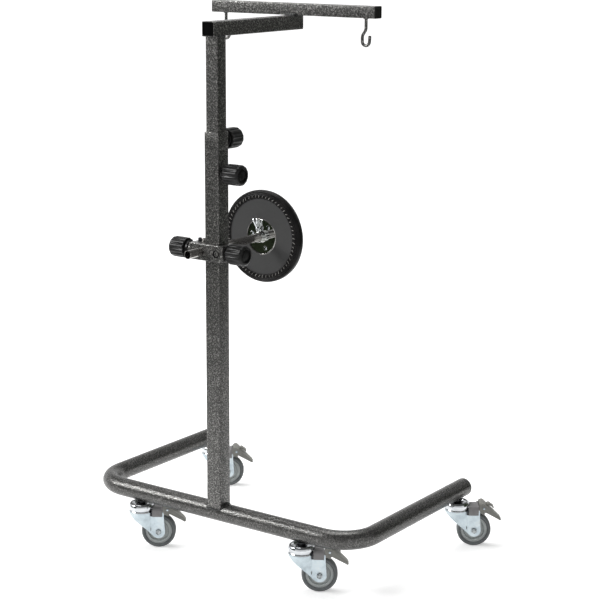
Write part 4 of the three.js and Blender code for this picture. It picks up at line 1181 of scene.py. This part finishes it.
def pale_floor():
    """Pale grey with the object's shadow near it, and as white as the backdrop metres off."""
    f = Finish("pale_floor", rough=0.9, specular=0.1)
    near = f.tones(f.noise(3.0, 3.0), 0.80, 0.82)
    away = f.node("VectorMath", {0: f.coords}, operation="LENGTH").outputs["Value"]
    f.colour(f.mix(f.remap(away, 0.9, 2.6, 0.0, 1.0), near, (0.34, 0.34, 0.34)))
    direct = f.node("LightPath").outputs["Is Camera Ray"]
    beyond = f.maths("MULTIPLY", direct, f.remap(away, 0.7, 2.2, 0.0, 0.75))
    under = f.maths("MULTIPLY", f.seen(), f.remap(away, 0.9, 3.0, 0.45, 0.25))
    glow = f.node("Emission", {"Strength": f.maths("ADD", beyond, under)})
    both = f.node("AddShader", {0: f.shader.outputs[0], 1: glow.outputs[0]})
    f.feed(f.tree.nodes["Material Output"].inputs["Surface"], both.outputs[0])
    return f.material


FLOOR_HALF = 60         # metres
floor = flat_sheet("floor", (-FLOOR_HALF, -FLOOR_HALF, 0), (FLOOR_HALF, -FLOOR_HALF, 0),
                   (FLOOR_HALF, FLOOR_HALF, 0), (-FLOOR_HALF, FLOOR_HALF, 0))
floor.data.materials.append(pale_floor())


def studio_world():
    """White round the horizon and dark overhead, as a studio is, and plain soft light."""
    world = bpy.data.worlds.new("studio")
    bpy.context.scene.world = world
    world.use_nodes = True
    w = Nodes(world.node_tree)
    seen = w.seen()
    way = w.node("TexCoord").outputs["Generated"]
    rise = w.node("SeparateXYZ", {0: way}).outputs["Z"]
    backdrop = w.maths("MULTIPLY", seen, w.remap(rise, 0.2, 0.6, 1.0, 0.12))
    lighting = w.maths("MULTIPLY", w.maths("SUBTRACT", 1.0, seen), 0.4)
    background = w.tree.nodes["Background"]
    background.inputs["Color"].default_value = (1, 1, 1, 1)
    w.feed(background.inputs["Strength"], w.maths("ADD", backdrop, lighting))


def softbox(name, place, target, size, power):
    """A square soft lamp that points at a target."""
    lamp = bpy.data.lights.new(name, "AREA")
    lamp.shape = "RECTANGLE"
    lamp.size = size
    lamp.size_y = size
    lamp.energy = power
    obj = add_object(name, lamp)
    obj.location = place
    obj.rotation_mode = "QUATERNION"
    obj.rotation_quaternion = (Vector(target) - Vector(place)).to_track_quat("-Z", "Y")


def dark_card(name, *corners):
    """A dark card that only reflections and bounced light meet, so one side stays darker."""
    card = flat_sheet(name, *corners)
    f = Finish(name, rough=0.9, specular=0.0)
    f.colour(f.tones(f.noise(4.0), (0.02, 0.028, 0.016), (0.04, 0.05, 0.03)))
    card.data.materials.append(f.material)
    card.visible_camera = False
    card.visible_shadow = False


studio_world()
softbox("key", place=(-5.0, -3.9, 4.2), target=(0, 0, 0.4), size=2.5, power=360)
softbox("top", place=(-1.2, 1.0, 5.6), target=(0, 0.1, 0.3), size=3.6, power=200)
dark_card("card_right", (1.2, 0.3, 0.02), (1.2, 2.8, 0.02), (1.2, 2.8, 1.6), (1.2, 0.3, 1.6))
dark_card("card_front", (-1.9, -0.9, 0.05), (-0.5, -1.9, 0.05), (-0.5, -1.9, 0.85),
          (-1.9, -0.9, 0.85))

bpy.context.scene.view_settings.view_transform = "Standard"
